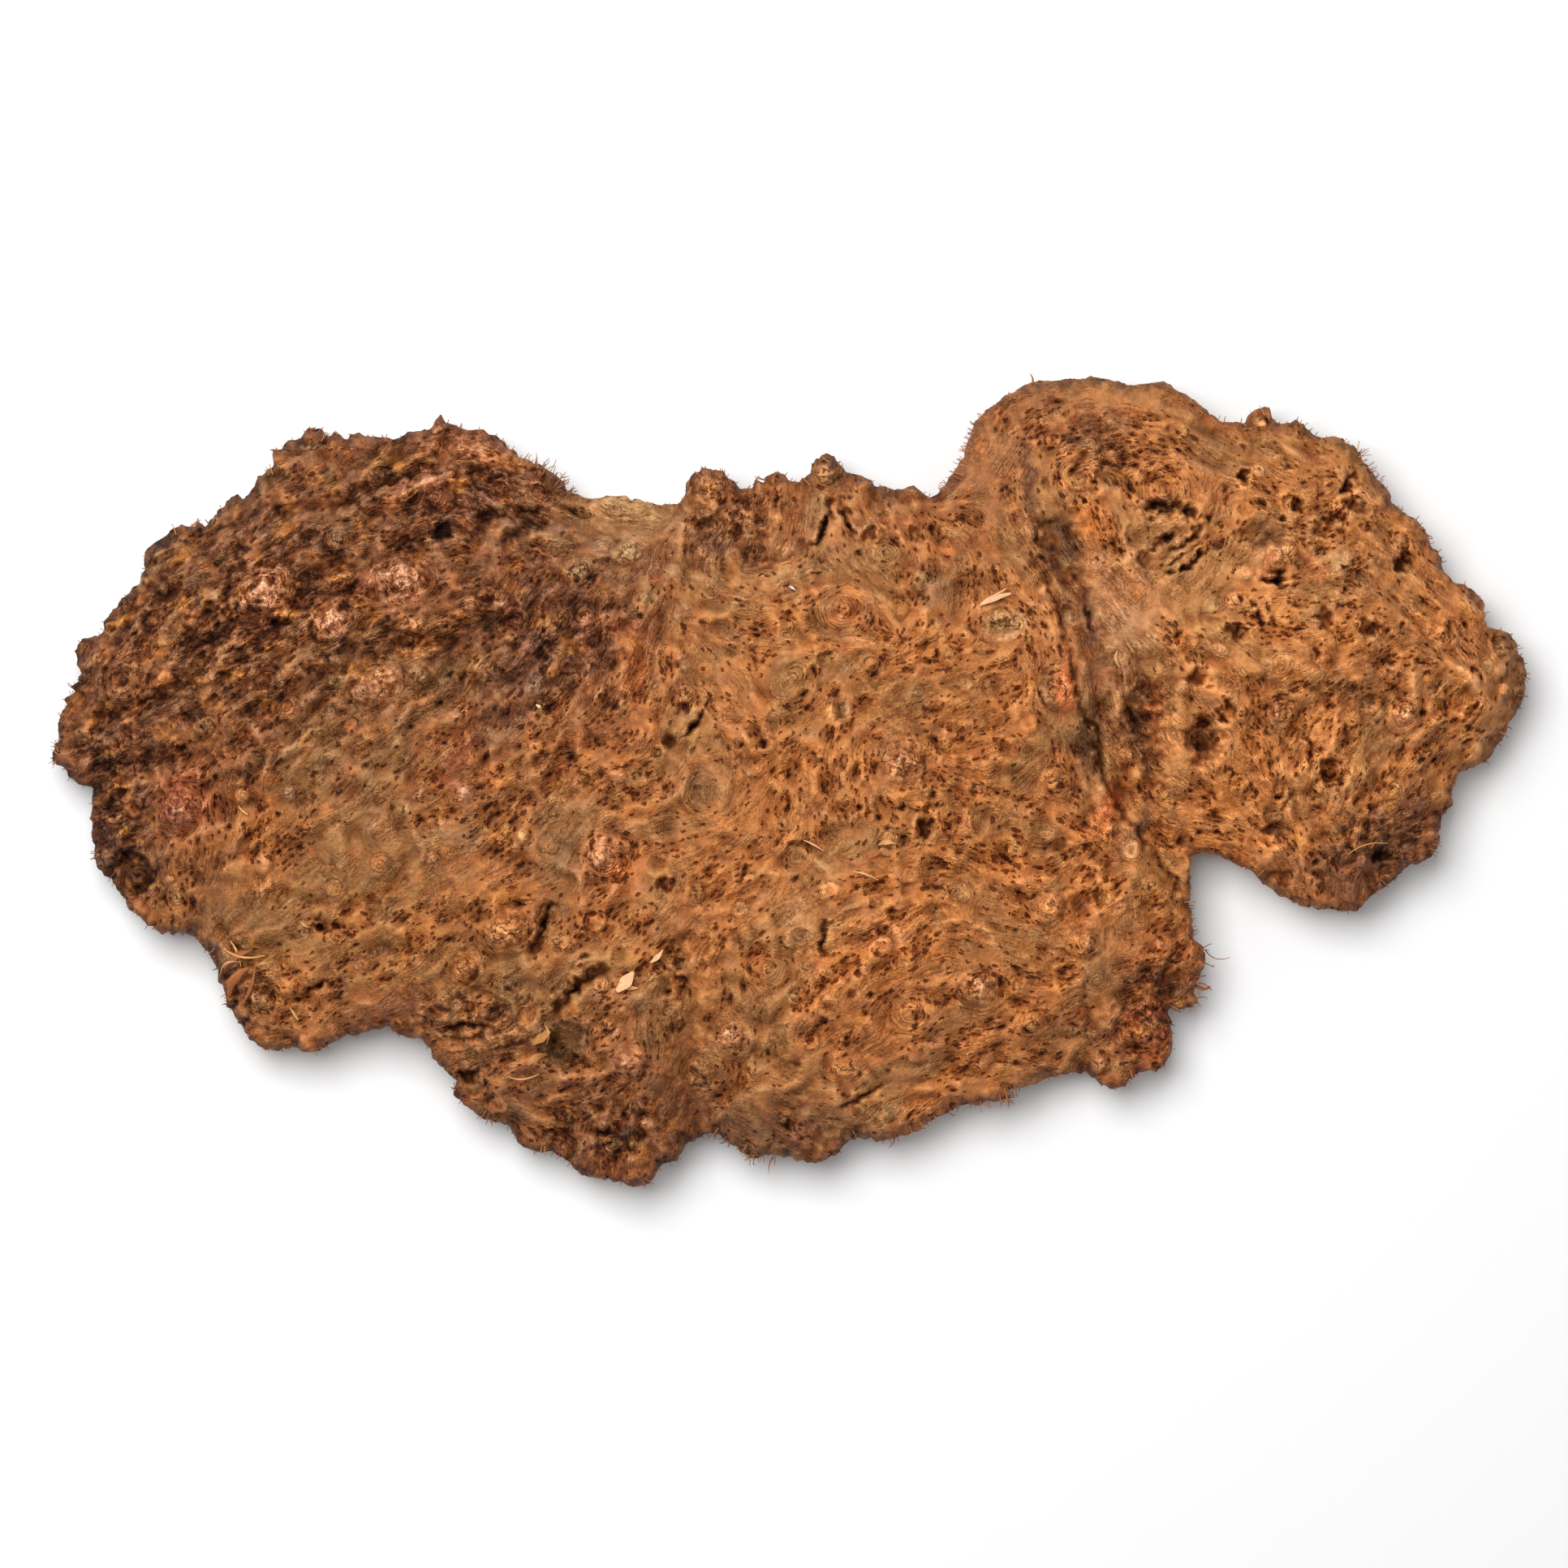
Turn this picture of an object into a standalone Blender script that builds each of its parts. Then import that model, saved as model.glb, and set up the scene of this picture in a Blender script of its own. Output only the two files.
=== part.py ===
"""Burl cap: the knotty cap of figured wood that was sawn off a eucalypt trunk.

One solid of wood, 420 mm long. Its outline and the places of its knobs, hollows and furrows are
read by eye from a picture taken from straight above, in that picture's pixels, and turned into
metres by one scale. Heights and depths are in millimetres.
Metres, +Z up, +X along the length. The origin is the middle of the box, on the sawn underside.
"""

import bpy
import bmesh
import numpy as np

# Driving sizes
LENGTH = 0.420               # tip to tip along X
HEIGHT = 0.061               # sawn underside to the highest knob
RIM_HEIGHT = 0.021           # top edge of the side wall
WIDEST_AT = 0.55             # widest line of the wall, as a share of the rim height
TOP_LEAN = 0.004             # the wall leans in this much above its widest line
UNDERCUT = 0.013             # and this much below it, down to the saw cut
LEAN_REACH = 0.014           # how far in from the outline the lean is felt
SHOULDER = 0.026             # distance in which the cap rises from its rim to its crown
MM = 0.001

# How fine the model is
VOXEL = 0.0011               # grid of the modelling skin
SLAB = 0.012                 # blank that the skin starts from
TRIANGLES = 11400            # after thinning
FLAT = 0.0004                # what lies this low belongs to the saw cut

# The picture's pixels: the cap's leftmost and rightmost points, and its centre lines
PX_LEFT, PX_RIGHT = 58.0, 1888.0
PX_TOP, PX_BOTTOM = 461.0, 1464.0
PX = LENGTH / (PX_RIGHT - PX_LEFT)
PX_X = (PX_LEFT + PX_RIGHT) / 2
PX_Y = (PX_TOP + PX_BOTTOM) / 2

# Outline from the left tip, over the top edge, round the right lobe and back along the bottom
LEFT_LOBE_TOP = [
    (58, 936), (61, 920), (69, 907), (66, 886), (77, 868), (76, 858), (91, 853), (82, 845),
    (97, 830), (89, 806), (99, 786), (121, 778), (124, 765), (147, 739), (170, 713), (177, 680),
    (196, 662), (213, 647), (236, 646), (242, 641), (248, 646), (258, 638), (271, 623),
    (291, 606), (298, 614), (320, 581), (333, 571), (333, 553), (343, 550), (352, 539),
    (366, 537), (375, 527), (385, 524), (395, 528), (401, 534), (410, 529), (424, 536),
    (437, 529), (455, 537), (473, 535), (481, 534), (488, 542), (497, 534), (510, 529),
    (531, 525), (534, 515), (543, 509), (554, 519), (577, 524), (602, 529), (622, 543),
    (648, 563), (668, 569), (688, 584), (699, 600)]
MIDDLE_LOBE_TOP = [
    (707, 608), (742, 608), (778, 610), (804, 615), (827, 620), (842, 609), (848, 590),
    (858, 579), (876, 574), (892, 578), (902, 588), (917, 598), (929, 596), (932, 586),
    (939, 590), (950, 582), (966, 582), (976, 589), (989, 589), (1000, 581), (1002, 570),
    (1011, 561), (1024, 557), (1037, 569), (1050, 580), (1070, 588), (1086, 597), (1109, 600),
    (1128, 599), (1142, 607), (1154, 609)]
RIGHT_LOBE_TOP = [
    (1163, 598), (1178, 580), (1188, 560), (1196, 540), (1201, 521), (1216, 504), (1238, 487),
    (1262, 474), (1296, 465), (1348, 461), (1380, 466), (1401, 470), (1432, 468), (1445, 472),
    (1465, 484), (1487, 500), (1510, 513), (1539, 517), (1546, 506), (1556, 499), (1567, 497),
    (1573, 515), (1584, 519), (1607, 516), (1621, 528), (1641, 538), (1657, 537), (1665, 546),
    (1675, 546), (1686, 564), (1698, 583), (1715, 603), (1719, 619), (1731, 627), (1745, 637),
    (1761, 649), (1767, 668), (1779, 681), (1790, 707), (1810, 719), (1826, 732), (1833, 748),
    (1833, 764), (1852, 777), (1868, 780), (1877, 798), (1885, 815), (1888, 835)]
RIGHT_LOBE_BOTTOM = [
    (1884, 858), (1873, 883), (1860, 907), (1838, 935), (1812, 949), (1797, 965), (1795, 992),
    (1784, 1006), (1777, 1019), (1778, 1038), (1770, 1053), (1754, 1063), (1735, 1071),
    (1720, 1087), (1702, 1100), (1689, 1113), (1676, 1124), (1657, 1125), (1641, 1121),
    (1608, 1118), (1585, 1105), (1562, 1089), (1543, 1074), (1523, 1063), (1501, 1053),
    (1478, 1050), (1470, 1062)]
LOWER_LOBES = [
    (1471, 1095), (1471, 1128), (1475, 1151), (1487, 1170), (1490, 1189), (1484, 1203),
    (1479, 1220), (1480, 1238), (1468, 1246), (1452, 1242), (1447, 1258), (1450, 1284),
    (1445, 1307), (1430, 1322), (1411, 1323), (1395, 1332), (1385, 1341), (1372, 1345),
    (1359, 1337), (1346, 1326), (1330, 1323), (1300, 1330), (1278, 1339), (1258, 1346),
    (1244, 1348), (1245, 1357), (1224, 1361), (1200, 1363), (1178, 1367), (1166, 1376),
    (1145, 1386), (1138, 1396), (1117, 1401), (1101, 1409), (1086, 1409), (1060, 1404),
    (1044, 1411), (1034, 1424), (1011, 1435), (995, 1434), (975, 1429), (953, 1427),
    (930, 1430), (920, 1425), (904, 1415), (888, 1403), (872, 1399), (857, 1406), (848, 1411),
    (834, 1432), (813, 1443), (802, 1461), (781, 1464), (752, 1458), (717, 1450), (700, 1437),
    (684, 1424), (664, 1420), (641, 1415), (632, 1401), (622, 1389), (599, 1383), (580, 1370),
    (557, 1350), (560, 1339), (547, 1318)]
LEFT_LOBE_BOTTOM = [
    (534, 1305), (525, 1289), (505, 1277), (489, 1276), (479, 1267), (459, 1272), (440, 1277),
    (424, 1281), (401, 1291), (385, 1299), (362, 1293), (342, 1296), (326, 1296), (310, 1286),
    (294, 1262), (278, 1242), (271, 1216), (258, 1181), (245, 1164), (229, 1153), (212, 1151),
    (193, 1151), (180, 1141), (164, 1125), (148, 1106), (136, 1091), (125, 1080), (112, 1060),
    (112, 1044), (110, 1021), (110, 995), (108, 974), (92, 962), (79, 956), (77, 944), (66, 943)]
OUTLINE = (LEFT_LOBE_TOP + MIDDLE_LOBE_TOP + RIGHT_LOBE_TOP + RIGHT_LOBE_BOTTOM + LOWER_LOBES
           + LEFT_LOBE_BOTTOM)
STEPS_PER_POINT = 4          # points of the smooth outline for each one above

# Broad lobes of the crown: centre and radii in pixels, rise in millimetres
CROWN = 12.0                 # rise everywhere, away from the rim
LOBES = [
    (420, 860, 300, 240, 13), (700, 960, 260, 260, 8), (1060, 900, 220, 280, 14),
    (1600, 800, 240, 230, 18), (1390, 600, 170, 130, 9), (760, 1270, 200, 150, 11),
    (1170, 1220, 260, 130, 12), (360, 1120, 180, 150, 8)]

# Knobs: centre, radii, turn in degrees, rise in millimetres
KNOBS = [
    (333, 732, 30, 38, 30, 4.5), (502, 719, 36, 40, 0, 4.5), (421, 768, 24, 22, 0, 4.0),
    (515, 774, 18, 17, 0, 2.5), (427, 722, 14, 26, -30, 2.5), (164, 820, 20, 18, 0, 3.0),
    (154, 852, 20, 18, 0, 3.0), (476, 846, 34, 25, 25, 3.5), (528, 836, 16, 14, 0, 2.0),
    (128, 914, 14, 12, 0, 2.0), (385, 538, 22, 16, 0, 3.0), (544, 613, 17, 14, 0, 2.0),
    (716, 704, 20, 18, 0, 2.0), (775, 678, 21, 18, 0, 2.0), (580, 976, 14, 13, 0, 2.0),
    (526, 981, 10, 9, 0, 1.5), (232, 995, 36, 32, 0, 4.5), (130, 1063, 17, 17, 0, 3.5),
    (187, 1099, 12, 14, 0, 3.0), (213, 1086, 10, 10, 0, 2.0), (148, 1034, 12, 28, -20, 4.0),
    (369, 976, 14, 12, 0, 1.8), (333, 1093, 26, 14, 35, 2.2), (320, 1239, 32, 28, 0, 2.5),
    (747, 1057, 22, 22, 0, 4.0), (768, 1070, 12, 12, 0, 2.5), (632, 1145, 34, 30, 0, 4.5),
    (580, 1191, 22, 20, 0, 2.5), (697, 1158, 22, 18, 0, 1.5), (781, 1305, 22, 18, 20, 3.0),
    (905, 1275, 28, 26, 0, 3.5), (865, 1330, 20, 38, 0, 3.0), (878, 592, 24, 20, 0, 3.0),
    (1021, 575, 22, 20, 0, 3.5), (1041, 754, 14, 16, 0, 2.5), (1112, 937, 40, 38, 0, 3.5),
    (1207, 1214, 27, 26, 0, 3.5), (1041, 1315, 20, 18, 0, 2.0), (1291, 1118, 20, 20, 0, 3.0),
    (1336, 1157, 16, 16, 0, 2.5), (1271, 1261, 16, 14, 0, 1.5), (1300, 965, 18, 18, 0, 2.0),
    (1302, 850, 28, 26, 0, 3.5), (1368, 1020, 9, 26, -10, 2.0), (1418, 1267, 40, 38, 0, 4.0),
    (1359, 1318, 18, 18, 0, 3.5), (1234, 771, 32, 22, 0, 2.2), (1576, 688, 24, 20, 0, 2.2),
    (1725, 880, 20, 20, 0, 2.2), (1569, 880, 18, 20, 0, 2.2), (1862, 795, 18, 16, 0, 1.6),
    (1777, 779, 20, 18, 0, 1.8), (1558, 510, 17, 15, 0, 3.0), (543, 520, 14, 12, 0, 3.0),
    (632, 1040, 18, 16, 0, 1.5), (940, 780, 60, 80, 10, 2.0), (1650, 720, 60, 40, 0, 2.0)]
MOAT = 0.22                  # depth of the dip round a knob, as a share of its rise

# Hollows: centre, radii, turn, depth in millimetres, height of the raised lip
HOLLOWS = [
    (164, 1083, 30, 26, 0, 7.0, 0.0), (611, 742, 10, 10, 0, 3.0, 1.6),
    (603, 779, 26, 22, 0, 2.5, 0.0), (697, 1285, 36, 34, 0, 5.5, 0.0),
    (571, 1332, 10, 10, 0, 5.0, 0.0), (1430, 606, 46, 34, 0, 4.0, 0.0),
    (1426, 628, 24, 13, 15, 6.0, 0.0), (1461, 635, 10, 12, 20, 4.5, 0.6),
    (1530, 588, 8, 10, 0, 4.0, 1.3), (1668, 588, 8, 18, -25, 4.0, 0.3),
    (1668, 619, 16, 9, 0, 2.5, 0.3), (1640, 641, 15, 9, 30, 3.0, 0.3),
    (1622, 656, 12, 10, 0, 3.0, 0.3), (1598, 622, 10, 9, 0, 2.5, 0.3),
    (1730, 694, 12, 11, 0, 4.5, 0.5), (1512, 780, 13, 8, 0, 3.0, 0.4),
    (1678, 777, 15, 14, 0, 4.0, 0.4), (1624, 766, 9, 17, -15, 3.2, 0.4),
    (1797, 865, 26, 22, 0, 4.0, 0.3), (1471, 837, 12, 11, 0, 4.0, 0.7),
    (1507, 879, 9, 11, 30, 3.0, 0.5), (1480, 913, 26, 30, 0, 8.0, 0.6),
    (1634, 951, 18, 17, 0, 5.0, 1.0), (1404, 885, 27, 54, 0, 6.0, 0.0),
    (1566, 1028, 20, 13, 0, 4.0, 0.3), (1138, 1017, 12, 12, 0, 4.0, 1.4),
    (816, 1188, 8, 8, 0, 3.0, 0.4), (839, 1184, 8, 8, 0, 3.0, 0.4),
    (840, 1206, 7, 7, 0, 3.0, 0.3), (824, 1084, 10, 10, 0, 3.0, 1.1),
    (1073, 657, 10, 12, 0, 3.5, 1.1), (1302, 674, 36, 40, 0, 7.0, 0.0),
    (1418, 955, 12, 38, 0, 4.0, 0.0), (1548, 660, 30, 16, 0, 3.0, 0.0),
    (1448, 1208, 16, 24, 0, 4.0, 0.3), (1582, 1087, 12, 10, 0, 3.0, 0.0),
    (1712, 1067, 14, 22, 30, 3.0, 0.0), (400, 1141, 8, 7, 0, 2.5, 0.0),
    (1690, 850, 50, 18, 15, 2.0, 0.0), (548, 655, 14, 16, 0, 3.5, 0.0)]

# Furrows and valleys: half width in pixels, depth in millimetres, the line's points
FURROWS = [
    (10, 4.0, [(1262, 537), (1268, 590), (1274, 640)]),
    (22, 5.0, [(1274, 640), (1290, 690), (1304, 730)]),
    (7, 3.0, [(1289, 710), (1315, 804), (1331, 885), (1352, 900), (1357, 958), (1388, 1007),
              (1427, 1050), (1462, 1100)]),
    (24, 5.5, [(1315, 723), (1348, 820), (1361, 918), (1398, 1000), (1445, 1040)]),
    (60, 2.5, [(850, 640), (900, 700), (930, 790)]),
    (26, 4.5, [(838, 1170), (846, 1253), (852, 1330), (864, 1400)]),
    (26, 2.5, [(1290, 1160), (1330, 1110), (1310, 1060), (1240, 1050)]),
    (5, 3.0, [(1419, 700), (1450, 676), (1478, 658)]),
    (5, 3.0, [(1440, 702), (1468, 682), (1490, 662)]),
    (7, 4.0, [(1546, 720), (1572, 717), (1597, 708)]),
    (6, 4.0, [(1007, 668), (1016, 650), (1022, 634), (1024, 610)]),
    (5, 2.5, [(1036, 610), (1046, 637), (1052, 655)]),
    (6, 3.0, [(1018, 1137), (1012, 1155), (1016, 1171)]),
    (7, 3.0, [(683, 1115), (672, 1145), (661, 1171)]),
    (9, 5.0, [(690, 1240), (715, 1212), (745, 1192)]),
    (7, 3.0, [(545, 1277), (572, 1264), (601, 1266)]),
    (6, 2.5, [(373, 1234), (388, 1220), (403, 1212)]),
    (6, 2.5, [(1042, 1369), (1065, 1356), (1085, 1340)]),
    (9, 3.0, [(632, 664), (648, 650), (668, 640)]),
    (15, 3.5, [(262, 800), (300, 765), (345, 772), (385, 735), (410, 698), (470, 690),
               (525, 672)]),
    (17, 3.5, [(330, 880), (372, 850), (415, 832), (460, 806), (520, 792), (575, 795)]),
    (14, 3.0, [(110, 968), (165, 945), (215, 932), (262, 930)]),
    (12, 3.0, [(345, 625), (392, 620), (440, 612), (500, 578), (562, 558)]),
    (12, 2.5, [(120, 880), (165, 880), (205, 860), (260, 815)]),
    (12, 2.5, [(560, 905), (620, 880), (690, 872)]),
    (16, 2.5, [(620, 1010), (665, 985), (700, 940)]),
    (12, 2.5, [(500, 1000), (520, 1045), (490, 1090)]),
    (12, 3.0, [(600, 640), (660, 625), (720, 640), (760, 660)]),
    (12, 3.0, [(905, 650), (925, 680), (950, 690)]),
    (16, 3.0, [(1384, 950), (1360, 1085), (1330, 1110)])]

# Stretches with a plain, smooth surface: centre and radii
PLAIN = [
    (1215, 560, 55, 110), (1390, 480, 130, 26), (768, 625, 70, 34), (846, 1320, 26, 90),
    (530, 1085, 130, 90), (1345, 790, 26, 80)]
LEDGE = (768, 600, 78, 46)   # the low plain ledge at the top edge
LEDGE_HEIGHT = 12.0

# Seeded unevenness: cell size in pixels along and across, height in millimetres
LUMPS = [(40, 40, 1.8), (19, 19, 1.0)]
RIDGES = [(64, 26, 1.5), (34, 13, 0.7)]
WANDER, WANDER_CELL = 26.0, 75.0  # how far, and over what length, the lines wander off
RIDGE_TURN = 35.0            # the left lobe's ridges climb to the upper right, in degrees
RIDGE_AREA = (330, 800, 300, 260)
CELLS = 64                   # the noise repeats after this many cells


def spline(points, steps):
    """A closed smooth curve through points, with steps points for each."""
    p = np.array(points, dtype=float)
    before, after, far = np.roll(p, 1, 0), np.roll(p, -1, 0), np.roll(p, -2, 0)
    out = []
    for t in np.arange(steps) / steps:
        out.append(0.5 * (2 * p + (after - before) * t
                          + (2 * before - 5 * p + 4 * after - far) * t ** 2
                          + (3 * p - before - 3 * after + far) * t ** 3))
    return np.stack(out, 1).reshape(-1, 2)


def noise(x, y, seed):
    """Smooth seeded noise from -1 to 1, with cells one unit wide."""
    angles = np.random.default_rng(seed).uniform(0, 2 * np.pi, (CELLS, CELLS))
    cell_x, cell_y = np.floor(x).astype(int), np.floor(y).astype(int)
    u, v = x - cell_x, y - cell_y
    total = 0
    for i in (0, 1):
        for j in (0, 1):
            angle = angles[(cell_x + i) % CELLS, (cell_y + j) % CELLS]
            fade_u = 1 - np.abs(u - i)
            fade_v = 1 - np.abs(v - j)
            weight = (fade_u ** 2 * (3 - 2 * fade_u)) * (fade_v ** 2 * (3 - 2 * fade_v))
            total = total + weight * (np.cos(angle) * (u - i) + np.sin(angle) * (v - j))
    return 1.6 * total


def oval(x, y, cx, cy, rx, ry, turn=0.0):
    """Distance from an oval's centre, 1 at its edge; turn is counter-clockwise as seen."""
    a = np.radians(turn)
    dx, dy = x - cx, cy - y
    along = dx * np.cos(a) + dy * np.sin(a)
    across = dy * np.cos(a) - dx * np.sin(a)
    return np.hypot(along / rx, across / ry)


def bell(r):
    """A soft bump, 1 at r = 0 and nearly 0 at r = 1.3."""
    return np.exp(-2.2 * r ** 2)


def line_distance(x, y, points):
    """Distance in pixels from a line of points."""
    best = np.full(x.shape, 1e9)
    for (x0, y0), (x1, y1) in zip(points, points[1:]):
        length = (x1 - x0) ** 2 + (y1 - y0) ** 2
        t = np.clip(((x - x0) * (x1 - x0) + (y - y0) * (y1 - y0)) / length, 0, 1)
        best = np.minimum(best, np.hypot(x - x0 - t * (x1 - x0), y - y0 - t * (y1 - y0)))
    return best


def unevenness(x, y):
    """Seeded lumps all over and slanting ridges on the left lobe, in millimetres."""
    wander_x = x + WANDER * noise(x / WANDER_CELL, y / WANDER_CELL, 11)
    wander_y = y + WANDER * noise(x / WANDER_CELL, y / WANDER_CELL, 12)
    lumps = sum(rise * noise(wander_x / along, wander_y / across, 20 + k)
                for k, (along, across, rise) in enumerate(LUMPS))
    a = np.radians(RIDGE_TURN)
    climb = wander_x * np.cos(a) - wander_y * np.sin(a)
    side = wander_x * np.sin(a) + wander_y * np.cos(a)
    ridges = sum(rise * (0.5 - 1.5 * np.abs(noise(climb / along, side / across, 30 + k))
                         + noise(climb / along, side / across, 34 + k))
                 for k, (along, across, rise) in enumerate(RIDGES))
    left = bell(oval(x, y, *RIDGE_AREA) / 1.5)
    rough = lumps * (1 - 0.4 * left) + ridges * left
    plain = sum(bell(oval(x, y, *zone)) for zone in PLAIN)
    return rough * (1 - 0.8 * np.clip(plain, 0, 1))


def top_height(x, y, inward):
    """Height of the top surface in millimetres; inward is the distance from the outline."""
    crown = CROWN + sum(rise * bell(oval(x, y, cx, cy, rx, ry) / 1.5)
                        for cx, cy, rx, ry, rise in LOBES)
    rim = RIM_HEIGHT / MM + 3 * noise(x / 150, y / 150, 41)
    height = rim + crown * (1 - np.exp(-inward / SHOULDER))
    height += unevenness(x, y)
    for cx, cy, rx, ry, turn, rise in KNOBS:
        r = oval(x, y, cx, cy, rx, ry, turn)
        height += rise * ((1 + MOAT) * bell(r) - MOAT * bell(r / 1.8))
    for width, depth, points in FURROWS:
        height -= depth * bell(line_distance(x, y, points) / width / 1.3)
    for cx, cy, rx, ry, turn, depth, lip in HOLLOWS:
        r = oval(x, y, cx, cy, rx, ry, turn)
        height += lip * np.exp(-((r - 1.35) / 0.35) ** 2) - depth / (1 + r ** 6)
    ledge = 1 / (1 + oval(x, y, *LEDGE) ** 8)
    return height * (1 - ledge) + (LEDGE_HEIGHT + 0.05 * height) * ledge


def make_blank(outline):
    """A flat slab of the outline's shape, as an evenly meshed skin."""
    curve = bpy.data.curves.new("blank_outline", "CURVE")
    curve.dimensions = "2D"
    curve.fill_mode = "BOTH"
    curve.extrude = SLAB / 2
    line = curve.splines.new("POLY")
    line.points.add(len(outline) - 1)
    for point, (x, y) in zip(line.points, outline):
        point.co = (x, y, 0, 1)
    line.use_cyclic_u = True
    blank = bpy.data.objects.new("blank_outline", curve)
    collection.objects.link(blank)
    mesh = bpy.data.meshes.new_from_object(blank.evaluated_get(bpy.context.evaluated_depsgraph_get()))
    bpy.data.objects.remove(blank)
    bpy.data.curves.remove(curve)
    weld = bmesh.new()
    weld.from_mesh(mesh)
    bmesh.ops.remove_doubles(weld, verts=weld.verts, dist=1e-6)
    bmesh.ops.recalc_face_normals(weld, faces=weld.faces)
    weld.to_mesh(mesh)
    weld.free()
    cap = bpy.data.objects.new("burl_cap", mesh)
    collection.objects.link(cap)
    skin = cap.modifiers.new("skin", "REMESH")
    skin.mode = "VOXEL"
    skin.voxel_size = VOXEL
    return cap


def apply_modifiers(thing):
    """Turns an object's modifiers into its mesh."""
    mesh = bpy.data.meshes.new_from_object(thing.evaluated_get(bpy.context.evaluated_depsgraph_get()))
    thing.modifiers.clear()
    thing.data = mesh


def shape(mesh, outline):
    """Raises the slab into the cap: rounded rim, undercut wall, relief on top, flat below."""
    points = np.empty(len(mesh.vertices) * 3)
    mesh.vertices.foreach_get("co", points)
    points = points.reshape(-1, 3)
    level = np.clip(points[:, 2] / SLAB + 0.5, 0, 1)
    ends = np.roll(outline, -1, 0)
    middles = (outline + ends) / 2
    steps = ends - outline
    inward_sides = np.stack([steps[:, 1], -steps[:, 0]], 1)
    pull = np.zeros((len(points), 2))
    nearest = np.full(len(points), 1e9)
    for middle, side in zip(middles, inward_sides):
        gap = (points[:, 0] - middle[0]) ** 2 + (points[:, 1] - middle[1]) ** 2
        nearest = np.minimum(nearest, gap)
        pull += np.exp(-gap / (2 * LEAN_REACH ** 2))[:, None] * side
    pull /= LEAN_REACH * np.sqrt(2 * np.pi)
    x = points[:, 0] / PX + PX_X
    y = PX_Y - points[:, 1] / PX
    height = top_height(x, y, np.sqrt(nearest)) * MM
    above = np.clip((level - WIDEST_AT) / (1 - WIDEST_AT), 0, 1)
    below = np.clip((WIDEST_AT - level) / WIDEST_AT, 0, 1)
    lean = TOP_LEAN * above ** 2 + UNDERCUT * below ** 1.6
    points[:, :2] += pull * lean[:, None]
    tallest = height.max()
    excess = np.clip(height - RIM_HEIGHT, 0, None)
    height = np.minimum(height, RIM_HEIGHT) + excess * (HEIGHT - RIM_HEIGHT) / (tallest - RIM_HEIGHT)
    points[:, 2] = height * level
    mesh.vertices.foreach_set("co", points.ravel())
    mesh.update()


def thin(cap):
    """Thins the skin to the wanted number of triangles and trues up the sawn face."""
    mesh = cap.data
    triangles = sum(len(face.vertices) - 2 for face in mesh.polygons)
    fewer = cap.modifiers.new("fewer", "DECIMATE")
    fewer.ratio = TRIANGLES / triangles
    apply_modifiers(cap)
    clean = bmesh.new()
    clean.from_mesh(cap.data)
    for vertex in clean.verts:
        if vertex.co.z < FLAT:
            vertex.co.z = 0
    bmesh.ops.dissolve_degenerate(clean, edges=clean.edges, dist=1e-5)
    bmesh.ops.triangulate(clean, faces=clean.faces)
    clean.to_mesh(cap.data)
    clean.free()


def centre(mesh):
    """Puts the origin in the middle of the box, on the sawn underside, at the exact length."""
    points = np.array([vertex.co for vertex in mesh.vertices])
    low, high = points.min(0), points.max(0)
    points[:, :2] -= (low[:2] + high[:2]) / 2
    points[:, :2] *= LENGTH / (high[0] - low[0])
    mesh.vertices.foreach_set("co", points.ravel())
    mesh.update()


def burl_wood():
    """Weathered red-brown eucalypt burl."""
    material = bpy.data.materials.new("burl_wood")
    material.use_nodes = True
    shader = material.node_tree.nodes["Principled BSDF"]
    shader.inputs["Base Color"].default_value = (0.30, 0.13, 0.052, 1)
    shader.inputs["Roughness"].default_value = 0.62
    shader.inputs["Metallic"].default_value = 0.0
    return material


for old in list(bpy.data.objects):
    bpy.data.objects.remove(old)
collection = bpy.data.collections.new("burl_cap")
bpy.context.scene.collection.children.link(collection)

outline_px = spline(OUTLINE, STEPS_PER_POINT)
outline = np.stack([(outline_px[:, 0] - PX_X) * PX, (PX_Y - outline_px[:, 1]) * PX], 1)
burl_cap = make_blank(outline)
apply_modifiers(burl_cap)
shape(burl_cap.data, outline)
thin(burl_cap)
centre(burl_cap.data)
burl_cap.data.materials.clear()
burl_cap.data.materials.append(burl_wood())
burl_cap.data.shade_smooth()
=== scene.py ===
"""Looks of the burl cap: a knotty cap of figured eucalypt wood, sawn off a trunk and left raw.

Places are read from a picture taken from straight above and are given in its pixels, x to
the right and y down, in a frame of 1932 by 1932. PX is one of them in metres. Turns are in
degrees, counter-clockwise as seen from above. Heights and depths are in millimetres.
"""

import math

import bmesh
import bpy
import numpy as np
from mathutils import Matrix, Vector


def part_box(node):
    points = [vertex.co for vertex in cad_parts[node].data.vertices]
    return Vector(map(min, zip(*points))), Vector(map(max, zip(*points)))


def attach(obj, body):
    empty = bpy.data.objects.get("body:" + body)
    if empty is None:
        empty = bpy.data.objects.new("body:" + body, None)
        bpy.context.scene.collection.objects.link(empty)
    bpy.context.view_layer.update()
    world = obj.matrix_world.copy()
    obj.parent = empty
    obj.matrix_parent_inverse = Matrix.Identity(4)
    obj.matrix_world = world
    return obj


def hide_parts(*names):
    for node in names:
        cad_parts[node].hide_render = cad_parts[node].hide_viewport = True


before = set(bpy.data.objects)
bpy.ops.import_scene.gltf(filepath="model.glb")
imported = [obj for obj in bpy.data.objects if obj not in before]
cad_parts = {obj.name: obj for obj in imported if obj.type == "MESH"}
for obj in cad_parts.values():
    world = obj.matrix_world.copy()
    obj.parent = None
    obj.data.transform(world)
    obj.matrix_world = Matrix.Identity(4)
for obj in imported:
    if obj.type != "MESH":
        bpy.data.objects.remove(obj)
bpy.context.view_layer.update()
bpy.ops.object.select_all(action="DESELECT")

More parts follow.
